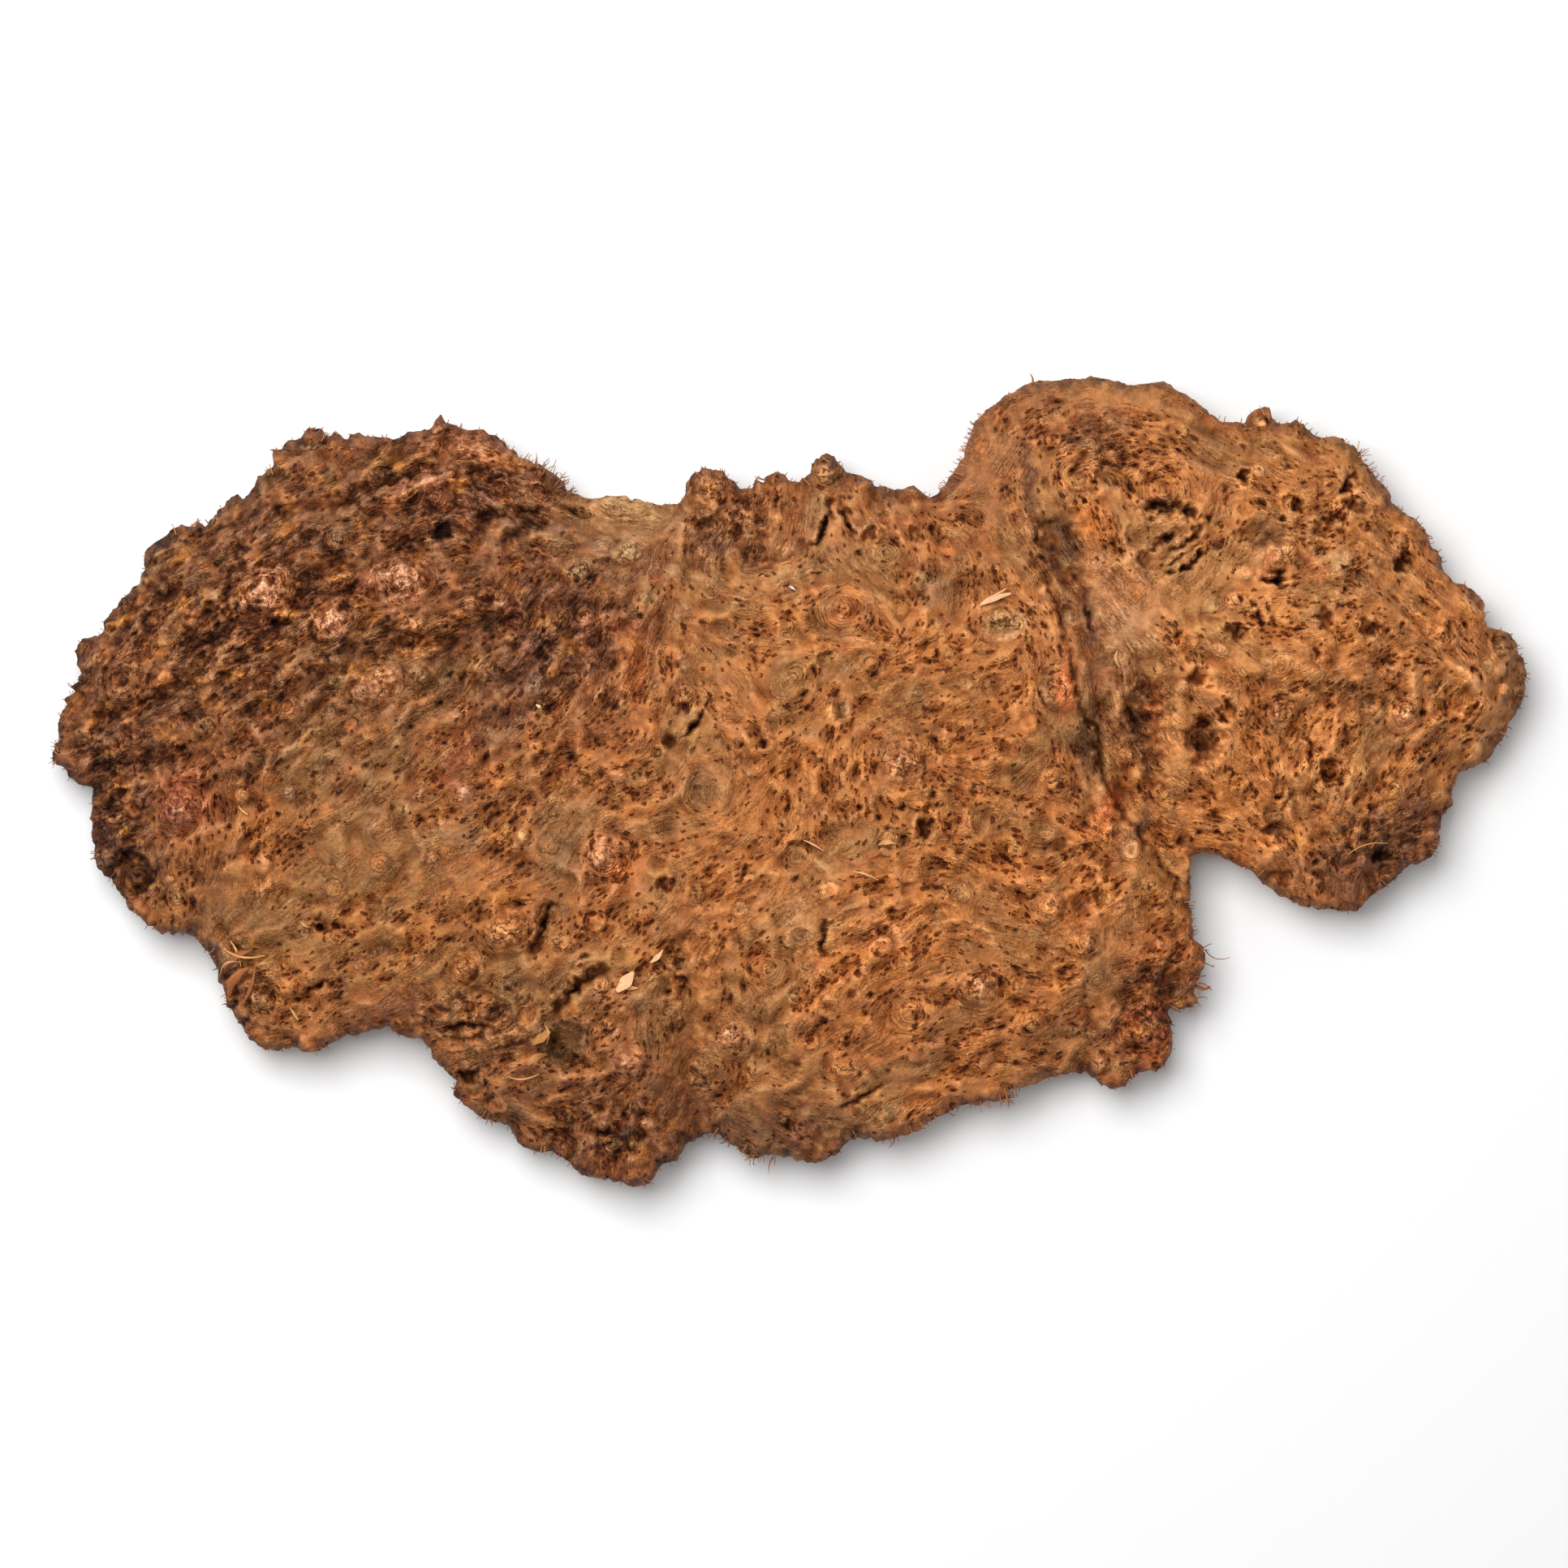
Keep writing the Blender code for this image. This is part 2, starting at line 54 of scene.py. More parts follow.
# The outline of the cap
# A ragged line of lobes: a dark one at the left, a low middle and, behind the main groove, a
# lobe to the right. It is the line of the solid, roughened by the torn fibres of the rim.
MM = 0.001
PX = 0.420 / (1888 - 58)
PX_X = (58 + 1888) / 2
PX_Y = (461 + 1464) / 2
LEFT_LOBE_TOP = [
    (58, 936), (61, 920), (69, 907), (66, 886), (77, 868), (76, 858), (91, 853), (82, 845),
    (97, 830), (89, 806), (99, 786), (121, 778), (124, 765), (147, 739), (170, 713), (177, 680),
    (196, 662), (213, 647), (236, 646), (242, 641), (248, 646), (258, 638), (271, 623),
    (291, 606), (298, 614), (320, 581), (333, 571), (333, 553), (343, 550), (352, 539),
    (366, 537), (375, 527), (385, 524), (395, 528), (401, 534), (410, 529), (424, 536),
    (437, 529), (455, 537), (473, 535), (481, 534), (488, 542), (497, 534), (510, 529),
    (531, 525), (534, 515), (543, 509), (554, 519), (577, 524), (602, 529), (622, 543),
    (648, 563), (668, 569), (688, 584), (699, 600)]
MIDDLE_LOBE_TOP = [
    (707, 608), (742, 608), (778, 610), (804, 615), (827, 620), (842, 609), (848, 590),
    (858, 579), (876, 574), (892, 578), (902, 588), (917, 598), (929, 596), (932, 586),
    (939, 590), (950, 582), (966, 582), (976, 589), (989, 589), (1000, 581), (1002, 570),
    (1011, 561), (1024, 557), (1037, 569), (1050, 580), (1070, 588), (1086, 597), (1109, 600),
    (1128, 599), (1142, 607), (1154, 609)]
RIGHT_LOBE_TOP = [
    (1163, 598), (1178, 580), (1188, 560), (1196, 540), (1201, 521), (1216, 504), (1238, 487),
    (1262, 474), (1296, 465), (1348, 461), (1380, 466), (1401, 470), (1432, 468), (1445, 472),
    (1465, 484), (1487, 500), (1510, 513), (1539, 517), (1546, 506), (1556, 499), (1567, 497),
    (1573, 515), (1584, 519), (1607, 516), (1621, 528), (1641, 538), (1657, 537), (1665, 546),
    (1675, 546), (1686, 564), (1698, 583), (1715, 603), (1719, 619), (1731, 627), (1745, 637),
    (1761, 649), (1767, 668), (1779, 681), (1790, 707), (1810, 719), (1826, 732), (1833, 748),
    (1833, 764), (1852, 777), (1868, 780), (1877, 798), (1885, 815), (1888, 835)]
RIGHT_LOBE_BOTTOM = [
    (1884, 858), (1873, 883), (1860, 907), (1838, 935), (1812, 949), (1797, 965), (1795, 992),
    (1784, 1006), (1777, 1019), (1778, 1038), (1770, 1053), (1754, 1063), (1735, 1071),
    (1720, 1087), (1702, 1100), (1689, 1113), (1676, 1124), (1657, 1125), (1641, 1121),
    (1608, 1118), (1585, 1105), (1562, 1089), (1543, 1074), (1523, 1063), (1501, 1053),
    (1478, 1050), (1470, 1062)]
LOWER_LOBES = [
    (1471, 1095), (1471, 1128), (1475, 1151), (1487, 1170), (1490, 1189), (1484, 1203),
    (1479, 1220), (1480, 1238), (1468, 1246), (1452, 1242), (1447, 1258), (1450, 1284),
    (1445, 1307), (1430, 1322), (1411, 1323), (1395, 1332), (1385, 1341), (1372, 1345),
    (1359, 1337), (1346, 1326), (1330, 1323), (1300, 1330), (1278, 1339), (1258, 1346),
    (1244, 1348), (1245, 1357), (1224, 1361), (1200, 1363), (1178, 1367), (1166, 1376),
    (1145, 1386), (1138, 1396), (1117, 1401), (1101, 1409), (1086, 1409), (1060, 1404),
    (1044, 1411), (1034, 1424), (1011, 1435), (995, 1434), (975, 1429), (953, 1427),
    (930, 1430), (920, 1425), (904, 1415), (888, 1403), (872, 1399), (857, 1406), (848, 1411),
    (834, 1432), (813, 1443), (802, 1461), (781, 1464), (752, 1458), (717, 1450), (700, 1437),
    (684, 1424), (664, 1420), (641, 1415), (632, 1401), (622, 1389), (599, 1383), (580, 1370),
    (557, 1350), (560, 1339), (547, 1318)]
LEFT_LOBE_BOTTOM = [
    (534, 1305), (525, 1289), (505, 1277), (489, 1276), (479, 1267), (459, 1272), (440, 1277),
    (424, 1281), (401, 1291), (385, 1299), (362, 1293), (342, 1296), (326, 1296), (310, 1286),
    (294, 1262), (278, 1242), (271, 1216), (258, 1181), (245, 1164), (229, 1153), (212, 1151),
    (193, 1151), (180, 1141), (164, 1125), (148, 1106), (136, 1091), (125, 1080), (112, 1060),
    (112, 1044), (110, 1021), (110, 995), (108, 974), (92, 962), (79, 956), (77, 944), (66, 943)]
OUTLINE = (LEFT_LOBE_TOP + MIDDLE_LOBE_TOP + RIGHT_LOBE_TOP + RIGHT_LOBE_BOTTOM + LOWER_LOBES
           + LEFT_LOBE_BOTTOM)
STEPS_PER_POINT = 5
# How far the torn rim strays, over which distance it does, and where it stays smooth: an oval
RAGGED, RAGGED_CELL = 3.0, 6.5
CALM_RIM = (1395, 480, 150, 45)
NOISE_CELLS = 64


def spline(points, steps):
    """A closed smooth curve through points, with steps points for each."""
    p = np.array(points, dtype=float)
    before, after, far = np.roll(p, 1, 0), np.roll(p, -1, 0), np.roll(p, -2, 0)
    out = []
    for t in np.arange(steps) / steps:
        out.append(0.5 * (2 * p + (after - before) * t
                          + (2 * before - 5 * p + 4 * after - far) * t ** 2
                          + (3 * p - before - 3 * after + far) * t ** 3))
    return np.stack(out, 1).reshape(-1, 2)


def noise(x, y, seed):
    """Smooth seeded noise from -1 to 1, with cells one unit wide."""
    angles = np.random.default_rng(seed).uniform(0, 2 * np.pi, (NOISE_CELLS, NOISE_CELLS))
    cell_x, cell_y = np.floor(x).astype(int), np.floor(y).astype(int)
    u, v = x - cell_x, y - cell_y
    total = 0
    for i in (0, 1):
        for j in (0, 1):
            angle = angles[(cell_x + i) % NOISE_CELLS, (cell_y + j) % NOISE_CELLS]
            fade_u = 1 - np.abs(u - i)
            fade_v = 1 - np.abs(v - j)
            weight = (fade_u ** 2 * (3 - 2 * fade_u)) * (fade_v ** 2 * (3 - 2 * fade_v))
            total = total + weight * (np.cos(angle) * (u - i) + np.sin(angle) * (v - j))
    return 1.6 * total


def oval(x, y, cx, cy, rx, ry, turn=0.0):
    """Distance from an oval's centre, 1 at its edge."""
    a = np.radians(turn)
    dx, dy = x - cx, cy - y
    along = dx * np.cos(a) + dy * np.sin(a)
    across = dy * np.cos(a) - dx * np.sin(a)
    return np.hypot(along / rx, across / ry)


def bell(r):
    """A soft bump, 1 at r = 0 and nearly 0 at r = 1.3."""
    return np.exp(-2.2 * r ** 2)


smooth_line = spline(OUTLINE, STEPS_PER_POINT)
torn_by = RAGGED * (1 - 0.85 / (1 + oval(smooth_line[:, 0], smooth_line[:, 1], *CALM_RIM) ** 6))
outline_px = smooth_line + torn_by[:, None] * np.stack([
    noise(smooth_line[:, 0] / RAGGED_CELL, smooth_line[:, 1] / RAGGED_CELL, seed)
    for seed in (1, 2)], 1)
outline = np.stack([(outline_px[:, 0] - PX_X) * PX, (PX_Y - outline_px[:, 1]) * PX], 1)

# The blank
# The wood starts as a flat slab of the outline's shape, meshed evenly by a fine voxel skin. The
# next sections raise it into the cap.
SLAB = 0.012
VOXEL = 0.00056

curve = bpy.data.curves.new("burl_cap_wood", "CURVE")
curve.dimensions = "2D"
curve.fill_mode = "BOTH"
curve.extrude = SLAB / 2
line = curve.splines.new("POLY")
line.points.add(len(outline) - 1)
for point, (px, py) in zip(line.points, outline):
    point.co = (px, py, 0, 1)
line.use_cyclic_u = True
wood = bpy.data.objects.new("burl_cap_wood", curve)
bpy.context.scene.collection.objects.link(wood)
bpy.context.view_layer.objects.active = wood
wood.select_set(True)
bpy.ops.object.convert(target="MESH")
bpy.ops.object.mode_set(mode="EDIT")
bpy.ops.mesh.select_all(action="SELECT")
bpy.ops.mesh.remove_doubles(threshold=1e-6)
bpy.ops.mesh.normals_make_consistent(inside=False)
bpy.ops.object.mode_set(mode="OBJECT")
skin = wood.modifiers.new("skin", "REMESH")
skin.mode = "VOXEL"
skin.voxel_size = VOXEL
bpy.ops.object.modifier_apply(modifier="skin")

# The lie of the grain
# Burl grain has no single direction. It sweeps in bands, and bends round every knob and bud eye
# as water does round stones. It is kept on a map with a sample every two pixels.
STEP = 2.0
MAP_LEFT, MAP_TOP = 36.0, 438.0
COLUMNS, ROWS = 940, 526
GRAIN_REACH = 34.0
GRAIN = [
    (150, 760, 50), (110, 850, 60), (120, 920, 30), (200, 700, 40), (300, 650, 38),
    (400, 600, 30), (480, 560, 30), (560, 560, 10), (640, 580, -35), (700, 625, -15),
    (760, 625, -8), (250, 780, 35), (350, 800, 35), (300, 880, 35), (420, 870, 38),
    (400, 700, 25), (520, 790, 25), (560, 860, 35), (640, 880, 50), (690, 830, 50),
    (720, 740, 60), (770, 790, 70), (790, 850, 75), (180, 940, 20), (240, 940, 50),
    (300, 1000, 85), (280, 1093, 75), (250, 1150, 65), (330, 1180, 10), (360, 1060, 40),
    (450, 1060, 38), (560, 1040, 30), (620, 1100, 35), (430, 1180, 38), (330, 1260, 10),
    (420, 1260, 25), (540, 1240, 35), (590, 1290, 15), (640, 1230, 45), (720, 1200, 42),
    (800, 1130, 40), (650, 1000, 40), (720, 1040, 60), (800, 1000, 20), (760, 930, 25),
    (850, 900, 60), (890, 870, -45), (870, 680, 80), (900, 640, 60), (940, 640, 80),
    (1010, 640, 85), (1050, 640, -60), (1060, 720, -35), (980, 720, 15), (900, 720, -20),
    (1100, 700, -70), (1140, 680, -75), (1160, 740, 60), (1200, 620, -5), (1190, 570, 62),
    (1225, 520, 55), (1260, 490, 38), (1310, 472, 8), (1400, 475, -5), (1460, 495, -35),
    (1240, 650, -80), (1225, 700, -45), (1270, 720, -55), (1320, 800, -75), (1340, 850, -75),
    (1360, 700, -60), (1390, 780, -60), (1450, 840, -50), (1520, 920, -65), (1550, 980, -60),
    (1450, 690, 40), (1500, 650, 60), (1580, 720, 5), (1560, 600, -30), (1640, 640, 40),
    (1700, 600, -50), (1760, 680, -50), (1820, 760, -45), (1860, 840, 80), (1800, 900, 50),
    (1700, 850, 15), (1640, 850, 35), (1610, 930, 65), (1660, 960, 70), (1750, 960, 45),
    (1740, 1020, 20), (1640, 1080, -80), (1560, 1060, -35), (1480, 1040, -10),
    (1400, 1000, -50), (1465, 1120, 90), (1440, 1130, 5), (1100, 870, 25), (1000, 900, 55),
    (1180, 830, 25), (1200, 900, 35), (1150, 960, -30), (1060, 960, 90), (1100, 1090, 20),
    (1200, 1080, -20), (980, 1150, 40), (1080, 1180, 35), (1040, 1240, 45), (930, 1230, 80),
    (850, 1260, 80), (860, 1360, 75), (950, 1380, -20), (1000, 1410, -30), (1080, 1350, 38),
    (1180, 1330, 20), (1270, 1320, 10), (1330, 1280, 30), (1180, 1280, 10), (1350, 1120, 40),
    (1400, 1180, 20), (1420, 1260, 30), (1240, 1160, -20), (700, 1330, 25), (640, 1380, -35),
    (760, 1430, 80), (820, 1420, 60), (620, 1330, 35)]
# Eyes that the grain circles: centre and radius
EYES = [
    (1041, 754, 35), (750, 1057, 30), (872, 975, 35), (1170, 1005, 30), (1215, 1010, 20),
    (982, 1055, 18), (1093, 681, 17), (1300, 965, 20), (1567, 824, 12), (1629, 841, 12),
    (1725, 880, 24), (1352, 1209, 16), (1336, 1157, 22), (1207, 1214, 28), (1271, 1261, 20),
    (1120, 1245, 25), (950, 1190, 28), (513, 1222, 14), (611, 742, 14), (580, 976, 16),
    (1070, 820, 15), (975, 840, 34), (1302, 850, 28), (1705, 830, 14), (1660, 1070, 18),
    (880, 1320, 40), (333, 732, 34), (502, 719, 38), (421, 768, 26), (476, 846, 30),
    (154, 836, 26), (232, 995, 34), (632, 1145, 34), (905, 1275, 28), (781, 1305, 24),
    (1112, 937, 38), (1041, 1315, 22), (1418, 1267, 36), (1359, 1318, 18), (1234, 771, 30),
    (1576, 688, 24), (1569, 880, 20), (1862, 795, 17), (1777, 779, 20), (878, 592, 24),
    (1021, 575, 22), (544, 613, 18), (716, 704, 18), (775, 678, 18), (320, 1239, 30),
    (697, 1285, 32), (164, 1083, 28), (1430, 606, 40), (1480, 913, 26), (1634, 951, 20),
    (1797, 865, 24), (1138, 1017, 14), (1678, 777, 16), (580, 1191, 20), (1291, 1118, 20),
    (816, 1188, 10), (839, 1184, 10), (840, 1206, 9), (824, 1084, 12), (1073, 657, 13)]


def read_map(values, x, y, step=STEP):
    """A map's value at places given in picture pixels, mixed from the samples round each."""
    rows, columns = values.shape
    u = np.clip((x - MAP_LEFT) / step, 0, columns - 1.001)
    v = np.clip((y - MAP_TOP) / step, 0, rows - 1.001)
    i, j = u.astype(int), v.astype(int)
    u, v = u - i, v - j
    upper = values[j, i] * (1 - u) + values[j, i + 1] * u
    lower = values[j + 1, i] * (1 - u) + values[j + 1, i + 1] * u
    return upper * (1 - v) + lower * v


def value_at(values, x, y, step=STEP):
    """A map's value at one place."""
    return read_map(values, np.array([float(x)]), np.array([float(y)]), step)[0]


def map_places(step):
    """The picture pixels of a map's samples."""
    columns, rows = int(COLUMNS * STEP / step) + 1, int(ROWS * STEP / step) + 1
    return np.meshgrid(MAP_LEFT + step * np.arange(columns), MAP_TOP + step * np.arange(rows))


LEAN_REACH = 0.014
EDGE_STEP = 6.0


def edge_fields(x, y):
    """Distance in from the outline in metres, and the pull inwards near it."""
    middles = (outline + np.roll(outline, -1, 0)) / 2
    steps = np.roll(outline, -1, 0) - outline
    place_x, place_y = (x - PX_X) * PX, (PX_Y - y) * PX
    nearest = np.full(x.shape, 1e9)
    pull_x, pull_y = np.zeros(x.shape), np.zeros(x.shape)
    for (mx, my), (sx, sy) in zip(middles, steps):
        gap = (place_x - mx) ** 2 + (place_y - my) ** 2
        nearest = np.minimum(nearest, gap)
        weight = np.exp(-gap / (2 * LEAN_REACH ** 2))
        pull_x += weight * sy
        pull_y -= weight * sx
    scale = LEAN_REACH * np.sqrt(2 * np.pi)
    return np.sqrt(nearest), pull_x / scale, pull_y / scale


edge_x, edge_y = map_places(EDGE_STEP)
edge_inward, edge_pull_x, edge_pull_y = edge_fields(edge_x, edge_y)
map_x, map_y = map_places(STEP)
inward = read_map(edge_inward, map_x, map_y, EDGE_STEP)

# Small bud eyes between the large ones, seeded, each as far from its neighbours as they allow
BUDS, BUD_TRIES, BUDS_INWARD = 420, 6000, 0.0035
BUD_SIZES = 7.0, 15.0
BARE = [(1215, 560, 70, 110), (768, 625, 90, 40), (280, 1100, 60, 70), (1390, 475, 140, 22)]
chance = np.random.default_rng(5)
buds = []
for _ in range(BUD_TRIES):
    bx, by = chance.uniform(90, 1870), chance.uniform(480, 1450)
    size = chance.uniform(*BUD_SIZES)
    depth = value_at(edge_inward, bx, by, EDGE_STEP)
    if depth < BUDS_INWARD or len(buds) == BUDS:
        continue
    if any(oval(bx, by, *area) < 1 for area in BARE):
        continue
    if all(math.hypot(bx - ox, by - oy) > 1.25 * (size + other)
           for ox, oy, other in EYES + buds):
        buds.append((bx, by, size))

COARSE_STEP = 8.0
coarse_x, coarse_y = map_places(COARSE_STEP)
twice_x, twice_y = 0, 0
for gx, gy, turn in GRAIN:
    gap = (coarse_x - gx) ** 2 + (coarse_y - gy) ** 2
    weight = np.exp(-gap / (2 * GRAIN_REACH ** 2)) + 1e-9
    twice_x = twice_x + weight * math.cos(math.radians(2 * turn))
    twice_y = twice_y + weight * math.sin(math.radians(2 * turn))
turn = np.arctan2(twice_y, twice_x)
twice_x, twice_y = np.cos(turn), np.sin(turn)
turn = np.arctan2(read_map(twice_y, map_x, map_y, COARSE_STEP),
                  read_map(twice_x, map_x, map_y, COARSE_STEP))
turn += 0.75 * noise(map_x / 62, map_y / 62, 51) + 0.4 * noise(map_x / 27, map_y / 27, 52)
twice_x, twice_y = np.cos(turn), np.sin(turn)


def window(cx, cy, reach):
    """The part of the map within reach of a place."""
    i = max(int((cx - reach - MAP_LEFT) / STEP), 0)
    j = max(int((cy - reach - MAP_TOP) / STEP), 0)
    k = max(int((cx + reach - MAP_LEFT) / STEP) + 2, i + 1)
    m = max(int((cy + reach - MAP_TOP) / STEP) + 2, j + 1)
    return slice(j, m), slice(i, k)


for ex, ey, size in EYES + buds:
    part = window(ex, ey, 2.6 * size)
    dx, dy = map_x[part] - ex, ey - map_y[part]
    away = np.hypot(dx, dy) / size
    hold = np.exp(-(away / 1.35) ** 4)
    round_turn = 2 * np.arctan2(dy, dx) + np.pi
    twice_x[part] = twice_x[part] * (1 - hold) + hold * np.cos(round_turn)
    twice_y[part] = twice_y[part] * (1 - hold) + hold * np.sin(round_turn)
grain_turn = np.arctan2(twice_y, twice_x) / 2


def softened(values, reach):
    """A map blurred over reach samples."""
    taps = np.arange(-2 * reach, 2 * reach + 1)
    weights = np.exp(-taps ** 2 / (2 * (reach / 1.2) ** 2))
    weights /= weights.sum()
    for axis in (0, 1):
        values = sum(w * np.roll(values, t, axis) for t, w in zip(taps, weights))
    return values


def combed(grainy, reach):
    """Maps of noise drawn out along the grain, each over its own number of samples."""
    drawn = [values.copy() for values in grainy]
    rows, columns = grain_turn.shape
    for way in (1, -1):
        column, row = np.meshgrid(np.arange(columns, dtype=float), np.arange(rows, dtype=float))
        step_x, step_y = way * np.cos(grain_turn), -way * np.sin(grain_turn)
        for stride in range(1, max(reach) + 1):
            column, row = column + step_x, row + step_y
            i = np.clip(column.round().astype(int), 0, columns - 1)
            j = np.clip(row.round().astype(int), 0, rows - 1)
            new_x, new_y = np.cos(grain_turn)[j, i], -np.sin(grain_turn)[j, i]
            same = np.where(new_x * step_x + new_y * step_y < 0, -1, 1)
            step_x, step_y = same * new_x, same * new_y
            for k, values in enumerate(grainy):
                if stride <= reach[k]:
                    drawn[k] += values[j, i]
    return [d / d.std() for d in drawn]


seeded = np.random.default_rng(8)
fine_noise = seeded.normal(size=map_x.shape)
broad_noise = softened(seeded.normal(size=map_x.shape), 2)
wide_noise = softened(seeded.normal(size=map_x.shape), 4)
band_noise = softened(seeded.normal(size=map_x.shape), 8)
fine_comb, broad_comb, wide_comb, bands = combed(
    [fine_noise, broad_noise, wide_noise, band_noise], [6, 12, 20, 30])

# The relief of the top
# The crown, its lobes, knobs, hollows and furrows are those of the solid. On them come what the
# solid leaves out: combed ridges of grain, gnarled knobs, bud eyes with rings, and pits.
HEIGHT = 0.061
RIM_HEIGHT = 0.021
SHOULDER = 0.026
CROWN = 12.0
LOBES = [
    (420, 860, 300, 240, 13), (700, 960, 260, 260, 8), (1060, 900, 220, 280, 14),
    (1600, 800, 240, 230, 18), (1390, 600, 170, 130, 9), (760, 1270, 200, 150, 11),
    (1170, 1220, 260, 130, 12), (360, 1120, 180, 150, 8)]
# Centre, radii, turn, rise
KNOBS = [
    (333, 732, 30, 38, 30, 4.5), (502, 719, 36, 40, 0, 4.5), (421, 768, 24, 22, 0, 4.0),
    (515, 774, 18, 17, 0, 2.5), (427, 722, 14, 26, -30, 2.5), (164, 820, 20, 18, 0, 3.0),
    (154, 852, 20, 18, 0, 3.0), (476, 846, 34, 25, 25, 3.5), (528, 836, 16, 14, 0, 2.0),
    (128, 914, 14, 12, 0, 2.0), (385, 538, 22, 16, 0, 3.0), (544, 613, 17, 14, 0, 2.0),
    (716, 704, 20, 18, 0, 2.0), (775, 678, 21, 18, 0, 2.0), (580, 976, 14, 13, 0, 2.0),
    (526, 981, 10, 9, 0, 1.5), (232, 995, 36, 32, 0, 4.5), (130, 1063, 17, 17, 0, 3.5),
    (187, 1099, 12, 14, 0, 3.0), (213, 1086, 10, 10, 0, 2.0), (148, 1034, 12, 28, -20, 4.0),
    (369, 976, 14, 12, 0, 1.8), (333, 1093, 26, 14, 35, 2.2), (320, 1239, 32, 28, 0, 2.5),
    (747, 1057, 22, 22, 0, 4.0), (768, 1070, 12, 12, 0, 2.5), (632, 1145, 34, 30, 0, 4.5),
    (580, 1191, 22, 20, 0, 2.5), (697, 1158, 22, 18, 0, 1.5), (781, 1305, 22, 18, 20, 3.0),
    (905, 1275, 28, 26, 0, 3.5), (865, 1330, 20, 38, 0, 3.0), (878, 592, 24, 20, 0, 3.0),
    (1021, 575, 22, 20, 0, 3.5), (1041, 754, 14, 16, 0, 2.5), (1112, 937, 40, 38, 0, 3.5),
    (1207, 1214, 27, 26, 0, 3.5), (1041, 1315, 20, 18, 0, 2.0), (1291, 1118, 20, 20, 0, 3.0),
    (1336, 1157, 16, 16, 0, 2.5), (1271, 1261, 16, 14, 0, 1.5), (1300, 965, 18, 18, 0, 2.0),
    (1302, 850, 28, 26, 0, 3.5), (1368, 1020, 9, 26, -10, 2.0), (1418, 1267, 40, 38, 0, 4.0),
    (1359, 1318, 18, 18, 0, 3.5), (1234, 771, 32, 22, 0, 2.2), (1576, 688, 24, 20, 0, 2.2),
    (1725, 880, 20, 20, 0, 2.2), (1569, 880, 18, 20, 0, 2.2), (1862, 795, 18, 16, 0, 1.6),
    (1777, 779, 20, 18, 0, 1.8), (1558, 510, 17, 15, 0, 3.0), (543, 520, 14, 12, 0, 3.0),
    (632, 1040, 18, 16, 0, 1.5), (940, 780, 60, 80, 10, 2.0), (1650, 720, 60, 40, 0, 2.0)]
MOAT = 0.22
# Centre, radii, turn, depth, height of the raised lip
HOLLOWS = [
    (164, 1083, 30, 26, 0, 7.0, 0.0), (611, 742, 10, 10, 0, 3.0, 1.6),
    (603, 779, 26, 22, 0, 2.5, 0.0), (697, 1285, 36, 34, 0, 5.5, 0.0),
    (571, 1332, 10, 10, 0, 5.0, 0.0), (1430, 606, 40, 26, 0, 2.2, 0.0),
    (1426, 628, 22, 10, 10, 6.5, 0.0), (1461, 635, 9, 10, 20, 5.5, 0.6),
    (1530, 588, 8, 10, 0, 4.0, 1.3), (1668, 588, 8, 18, -25, 4.0, 0.3),
    (1668, 619, 16, 9, 0, 2.5, 0.3), (1640, 641, 15, 9, 30, 3.0, 0.3),
    (1622, 656, 12, 10, 0, 3.0, 0.3), (1598, 622, 10, 9, 0, 2.5, 0.3),
    (1730, 694, 12, 11, 0, 4.5, 0.5), (1512, 780, 13, 8, 0, 3.0, 0.4),
    (1678, 777, 15, 14, 0, 4.0, 0.4), (1624, 766, 9, 17, -15, 3.2, 0.4),
    (1797, 865, 26, 22, 0, 4.0, 0.3), (1471, 837, 12, 11, 0, 4.0, 0.7),
    (1507, 879, 9, 11, 30, 3.0, 0.5), (1480, 913, 20, 27, 15, 6.0, 0.4),
    (1634, 951, 18, 17, 0, 5.0, 1.0), (1404, 885, 24, 50, 0, 5.0, 0.0),
    (1566, 1028, 20, 13, 0, 4.0, 0.3), (1138, 1017, 12, 12, 0, 4.0, 1.4),
    (816, 1188, 8, 8, 0, 3.0, 0.4), (839, 1184, 8, 8, 0, 3.0, 0.4),
    (840, 1206, 7, 7, 0, 3.0, 0.3), (824, 1084, 10, 10, 0, 3.0, 1.1),
    (1073, 657, 10, 12, 0, 3.5, 1.1), (1300, 676, 30, 38, -15, 5.5, 0.0),
    (1418, 955, 12, 38, 0, 4.0, 0.0), (1548, 660, 30, 16, 0, 3.0, 0.0),
    (1448, 1208, 16, 24, 0, 4.0, 0.3), (1582, 1087, 12, 10, 0, 3.0, 0.0),
    (1712, 1067, 14, 22, 30, 3.0, 0.0), (400, 1141, 8, 7, 0, 2.5, 0.0),
    (1690, 850, 50, 18, 15, 2.0, 0.0), (548, 655, 14, 16, 0, 3.5, 0.0)]
